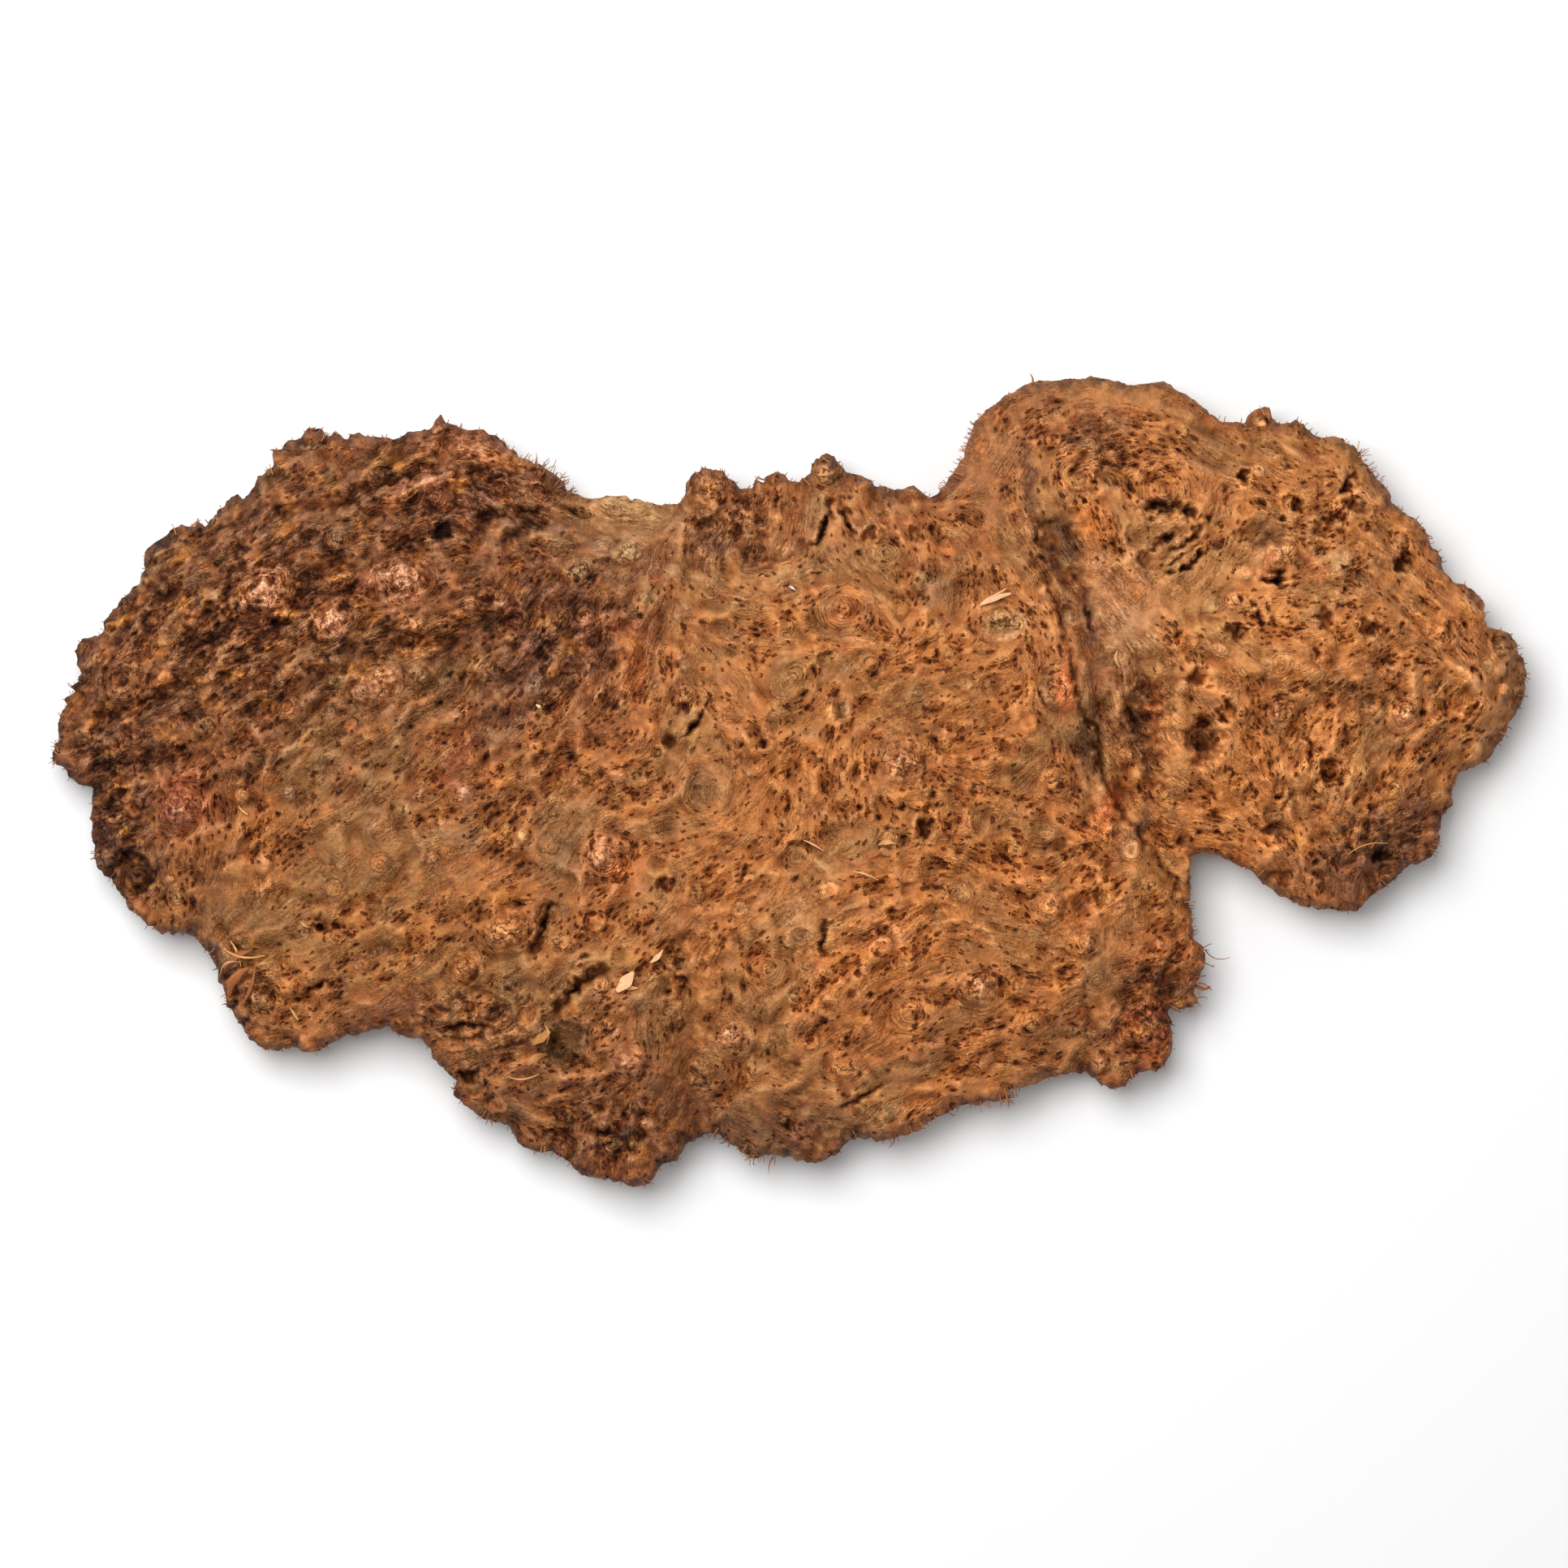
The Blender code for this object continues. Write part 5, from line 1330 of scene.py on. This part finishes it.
face = face.toward(pores * (0.25 + 0.6 * budded), PORE)
under_x, under_y, _ = under.split()
saw_line = under_x + under_y * 0.18 + under_y * under_y * 0.25
saw_marks = (saw_line * SAW_PITCH + fibre * 2.0).math("SINE")
face.toward(saw_marks.step(0.2, 1.0) * 0.12, FUZZ).feed("Base Color")
(0.58 + 0.3 * fibre).feed("Roughness")
sawn_relief = saw_marks * 0.08 + fibre * 0.25 - pores * knots * 0.3
sawn_bump = cut.node("ShaderNodeBump", {}, {
    "Strength": 0.6, "Distance": 0.001, "Height": sawn_relief})
sawn_bump.feed("Normal")

mesh.materials.append(finish)
mesh.materials.append(sawn_finish)
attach(wood, "root")
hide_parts("burl_cap")

# Loose bits and fibres
# Splinters, chips, straws and flakes of bark lie on the top, and torn fibres stand out of the
# rim. Each bit is a thin strip with pointed sides along a bent line.
BIT_SIDES = np.array([(-1, 0), (-0.5, 0.5), (0.5, 0.5), (1, 0), (0.5, -0.5), (-0.5, -0.5)])
BIT_STEPS = 8
CREAM, STRAW, BARK = (224, 174, 140), (206, 156, 104), (150, 92, 58)
# Start, middle and end, each with its height over the surface in millimetres, then the widths
# there and the thickness in pixels, the roll in degrees, and the colour
BITS = [
    ((1204, 749, 1.0), (1219, 741, 2.2), (1242, 734, 2.6), (2, 9, 3), 2.0, 20, CREAM),
    ((1212, 741, 1.2), (1226, 735, 2.4), (1236, 728, 2.8), (1, 5, 1), 1.6, -35, CREAM),
    ((764, 1217, 0.8), (775, 1205, 2.2), (784, 1193, 2.6), (5, 17, 3), 2.0, 12, CREAM),
    ((768, 1206, 1.0), (777, 1212, 1.6), (789, 1213, 1.8), (2, 9, 2), 1.6, -25, (214, 158, 112)),
    ((804, 1182, 0.8), (812, 1176, 1.6), (819, 1167, 2.2), (2, 8, 2), 1.4, 30, CREAM),
    ((279, 1168, 0.8), (302, 1178, 3.2), (330, 1176, 1.6), (2, 3, 1.5), 1.8, 0, STRAW),
    ((278, 1192, 0.5), (292, 1178, 2.4), (312, 1170, 0.8), (4, 14, 3), 1.6, 40, BARK),
    ((283, 1228, 0.4), (291, 1206, 3.0), (309, 1192, 1.2), (4, 15, 4), 1.6, -35, (172, 108, 66)),
    ((300, 1236, 0.6), (312, 1214, 2.6), (318, 1190, 1.0), (3, 9, 2), 1.5, 50, BARK),
    ((272, 1200, 0.6), (282, 1186, 2.4), (298, 1184, 2.8), (1, 3, 1), 1.2, 0, STRAW),
    ((286, 1158, 0.6), (294, 1170, 2.0), (300, 1190, 1.4), (1, 3, 1), 1.2, 0, STRAW),
    ((360, 1241, 0.8), (364, 1248, 1.6), (369, 1256, 1.2), (2, 4, 2), 3.0, 0, STRAW),
    ((304, 993, 0.8), (309, 998, 1.8), (316, 1003, 1.4), (2, 3, 2), 2.4, 0, STRAW),
    ((376, 1133, 0.6), (382, 1138, 1.4), (388, 1141, 0.8), (1, 3, 1), 2.0, 0, STRAW),
    ((990, 1034, 0.8), (1001, 1039, 1.8), (1014, 1047, 1.0), (1, 2.5, 1), 1.8, 0, CREAM),
    ((1050, 1072, 0.8), (1062, 1074, 1.6), (1080, 1082, 0.8), (1, 2.5, 1), 1.8, 0, CREAM),
    ((1065, 827, 0.2), (1061, 817, 0.9), (1069, 810, 1.2), (2, 4, 3), 1.4, 60, (150, 120, 82)),
    ((1069, 810, 1.2), (1079, 813, 1.2), (1079, 825, 0.2), (3, 4, 2), 1.4, 60, (142, 112, 76)),
    ((973, 725, 0.6), (976, 727, 1.6), (980, 730, 0.8), (1, 3, 1), 2.4, 0, (226, 226, 232)),
    ((666, 870, 0.2), (669, 872, 0.8), (672, 874, 0.2), (2, 5, 2), 3.0, 0, (232, 200, 166)),
    ((660, 1283, 0.4), (671, 1274, 3.0), (681, 1268, 2.2), (5, 15, 4), 1.6, 25, (176, 122, 78)),
    ((654, 1309, 0.4), (663, 1301, 2.4), (676, 1297, 1.4), (4, 13, 3), 1.6, -25, (190, 136, 88)),
    ((674, 1260, 0.6), (679, 1270, 2.4), (676, 1284, 2.6), (1, 3, 1), 1.4, 0, STRAW),
    ((628, 1323, 0.8), (646, 1327, 2.0), (667, 1320, 1.4), (1, 2.6, 1), 1.8, 0, STRAW),
    ((816, 1081, -1.0), (823, 1080, -0.6), (831, 1081, -1.0), (2, 4, 2), 2.4, 0, CREAM),
    ((817, 1088, -1.6), (824, 1087, -1.2), (831, 1088, -1.6), (2, 3, 2), 2.0, 0, (206, 166, 116)),
    ((1080, 1040, 0.4), (1089, 1036, 1.8), (1100, 1038, 1.0), (2, 8, 2), 1.6, 20, (196, 142, 96)),
    ((1371, 805, 0.4), (1369, 814, 1.6), (1374, 824, 0.8), (2, 5, 2), 2.0, 10, (196, 156, 116)),
    ((572, 976, 0.8), (580, 974, 2.4), (588, 979, 1.0), (3, 9, 3), 2.4, 0, (214, 158, 136)),
    ((1486, 1170, -7.0), (1500, 1182, -9.0), (1517, 1180, -8.0), (1.6, 1.2, 0.6), 0.8, 0, BARK),
    ((953, 1428, -8.0), (948, 1437, -8.0), (947, 1448, -9.0), (2, 1.5, 0.6), 1.0, 0, BARK),
    ((1103, 1404, -7.0), (1101, 1411, -7.0), (1096, 1417, -9.0), (1.6, 1.3, 0.6), 1.0, 0, BARK),
    ((1272, 474, -5.0), (1274, 466, -4.0), (1271, 458, -5.0), (3, 2.5, 1), 1.6, 0, BARK),
    ((1476, 1216, -6.0), (1486, 1220, -6.0), (1493, 1217, -7.0), (5, 4, 3), 3.0, 0, BARK),
    ((1478, 1212, -5.0), (1487, 1214, -5.0), (1495, 1221, -6.0), (2, 1.6, 1), 1.2, 0, BARK),
    ((790, 1380, 0.8), (796, 1387, 2.2), (800, 1396, 1.0), (0.8, 1.4, 0.8), 1.0, 0, BARK),
    ((1657, 1052, 1.0), (1680, 1040, 2.6), (1707, 1039, 1.0), (0.8, 1.4, 0.8), 1.0, 0, STRAW)]
# Torn fibres on the rim: the box of picture pixels that they stand in, their number, and
# their longest reach in pixels
FRINGES = [
    (640, 555, 705, 612, 30, 12), (1155, 480, 1210, 608, 50, 9), (1170, 1335, 1256, 1378, 20, 8),
    (1680, 550, 1710, 606, 10, 9), (850, 1385, 960, 1440, 30, 9), (1430, 1140, 1500, 1260, 16, 9),
    (250, 1150, 300, 1270, 10, 7), (540, 1330, 700, 1440, 20, 6), (55, 840, 125, 980, 16, 6),
    (40, 440, 1900, 1480, 400, 2.0)]

LOWEST_BIT = 1.5
# Where fibres leave the wall, as shares of its height from the top, and how deep they root in it
FIBRE_LEVELS = 0.04, 0.40
FIBRE_FOOT, FIBRE_ROOT = 2.0, 10.0
FIBRE_WIDTHS, FIBRE_THICKNESS = (1.3, 1.0, 0.4), 0.6
FIBRE_TONES = (BARK, (120, 74, 50), (176, 122, 80))
TORN_RIM = 1.5
bit_points, bit_faces, bit_tones = [], [], []


def add_bit(start_at, middle_at, end_at, widths, thick, roll, tone):
    """Adds a strip through three places in metres, with widths and thickness in pixels."""
    t = np.linspace(0, 1, BIT_STEPS)[:, None]
    line = ((1 - t) * (1 - 2 * t) * start_at + 4 * t * (1 - t) * middle_at
            + t * (2 * t - 1) * end_at)
    wide = np.interp(t[:, 0], (0, 0.5, 1), widths) * PX / 2
    ahead = np.gradient(line, axis=0)
    ahead /= np.linalg.norm(ahead, axis=1)[:, None]
    side = np.cross(ahead, (0.0, 0.0, 1.0))
    side /= np.linalg.norm(side, axis=1)[:, None]
    over = np.cross(side, ahead)
    cosine, sine = math.cos(math.radians(roll)), math.sin(math.radians(roll))
    side, over = cosine * side + sine * over, cosine * over - sine * side
    first = len(bit_points)
    for across, above in BIT_SIDES:
        bit_points.extend(line + (across * wide)[:, None] * side + above * thick * PX * over)
    count = len(BIT_SIDES)
    for k in range(count):
        here, there = first + k * BIT_STEPS, first + (k + 1) % count * BIT_STEPS
        bit_faces.extend((here + j, here + j + 1, there + j + 1, there + j)
                         for j in range(BIT_STEPS - 1))
    bit_faces.append([first + k * BIT_STEPS for k in range(count)])
    bit_faces.append([first + k * BIT_STEPS + BIT_STEPS - 1 for k in reversed(range(count))])
    bit_tones.extend([seen(*tone)] * (count * BIT_STEPS))


def over_top(px, py, lift):
    """A place in metres at a picture pixel, lift millimetres over the surface."""
    top = value_at(height, px, py)
    return np.array([(px - PX_X) * PX, (PX_Y - py) * PX, max(top + lift, LOWEST_BIT) * MM])


for start_at, middle_at, end_at, *shape in BITS:
    add_bit(over_top(*start_at), over_top(*middle_at), over_top(*end_at), *shape)

torn_out = np.random.default_rng(21)
outwards = np.roll(outline_px, -1, 0) - np.roll(outline_px, 1, 0)
outwards = np.stack([outwards[:, 1], -outwards[:, 0]], 1)
outwards /= np.linalg.norm(outwards, axis=1)[:, None]
for x0, y0, x1, y1, number, reach in FRINGES:
    inside = ((outline_px > (x0, y0)) & (outline_px < (x1, y1))).all(1)
    for k in torn_out.choice(np.flatnonzero(inside & (torn_by > TORN_RIM)), number):
        foot = outline_px[k] - FIBRE_FOOT * outwards[k]
        way = outwards[k] + torn_out.normal(0, 0.6, 2)
        way *= reach * torn_out.uniform(0.35, 1.0) / np.linalg.norm(way)
        bend = torn_out.normal(0, 0.25 * reach, 2)
        level = -torn_out.uniform(*FIBRE_LEVELS) * value_at(height, *foot)
        root = foot - FIBRE_ROOT * outwards[k]
        tip = foot + way + FIBRE_FOOT * outwards[k]
        middle = (foot + tip) / 2 + bend * 0.5
        tone = FIBRE_TONES[torn_out.integers(3)]
        add_bit(over_top(*root, level), over_top(*middle, level + torn_out.normal(0, 0.8)),
                over_top(*tip, level + torn_out.normal(0, 1.6)),
                FIBRE_WIDTHS, FIBRE_THICKNESS, 0, tone)

bits_mesh = bpy.data.meshes.new("burl_cap_bits")
bits_mesh.from_pydata([tuple(point) for point in bit_points], [], bit_faces)
layer = bits_mesh.attributes.new("tone", "FLOAT_COLOR", "POINT")
layer.data.foreach_set("color", np.append(bit_tones, np.ones((len(bit_tones), 1)), 1).ravel())
bits = bpy.data.objects.new("burl_cap_bits", bits_mesh)
bpy.context.scene.collection.objects.link(bits)

bits_finish, bit = new_finish("loose_splinters", 0.2)
spot = bit.node("ShaderNodeTexCoord", {}, {}, "Object")
blotch = bit.node("ShaderNodeTexNoise", {}, {"Vector": spot, "Scale": 900.0, "Detail": 2.0}) - 0.5
bit_tone = bit.node("ShaderNodeAttribute", {"attribute_name": "tone"}, {}, 0)
bit_tone.scaled(1.0 + 0.7 * blotch).feed("Base Color")
bits_finish.node_tree.nodes["Principled BSDF"].inputs["Roughness"].default_value = 0.6
bits_mesh.materials.append(bits_finish)
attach(bits, "root")
print("bits", len(bits_mesh.vertices), "points", len(bits_mesh.polygons), "faces")

# The studio
# A white table under a soft light from the top of the picture, seen from straight above.
CAMERA_HEIGHT = 1.685
LENS = 135.0
bpy.ops.mesh.primitive_plane_add(size=4.0)
floor = bpy.context.object
floor.name = "floor"
paper = bpy.data.materials.new("white_table")
paper.use_nodes = True
paper.node_tree.nodes["Principled BSDF"].inputs["Base Color"].default_value = (0.64, 0.64, 0.64, 1)
paper.node_tree.nodes["Principled BSDF"].inputs["Roughness"].default_value = 0.9
floor.data.materials.append(paper)

lamp = bpy.data.lights.new("window", "AREA")
lamp.size = 0.8
lamp.energy = 24
lamp_object = bpy.data.objects.new("window", lamp)
lamp_object.location = (-0.28, 0.38, 1.20)
lamp_object.rotation_euler = (math.radians(-17), math.radians(-13), 0)
bpy.context.scene.collection.objects.link(lamp_object)
world = bpy.data.worlds.new("room")
world.use_nodes = True
world.node_tree.nodes["Background"].inputs["Color"].default_value = (1, 1, 1, 1)
world.node_tree.nodes["Background"].inputs["Strength"].default_value = 0.56
bpy.context.scene.world = world
bpy.context.scene.view_settings.view_transform = "Standard"

camera = bpy.data.cameras.new("camera")
camera.lens = LENS
camera_object = bpy.data.objects.new("camera", camera)
camera_object.location = (-0.0016, -0.0008, CAMERA_HEIGHT)
bpy.context.scene.collection.objects.link(camera_object)
bpy.context.scene.camera = camera_object
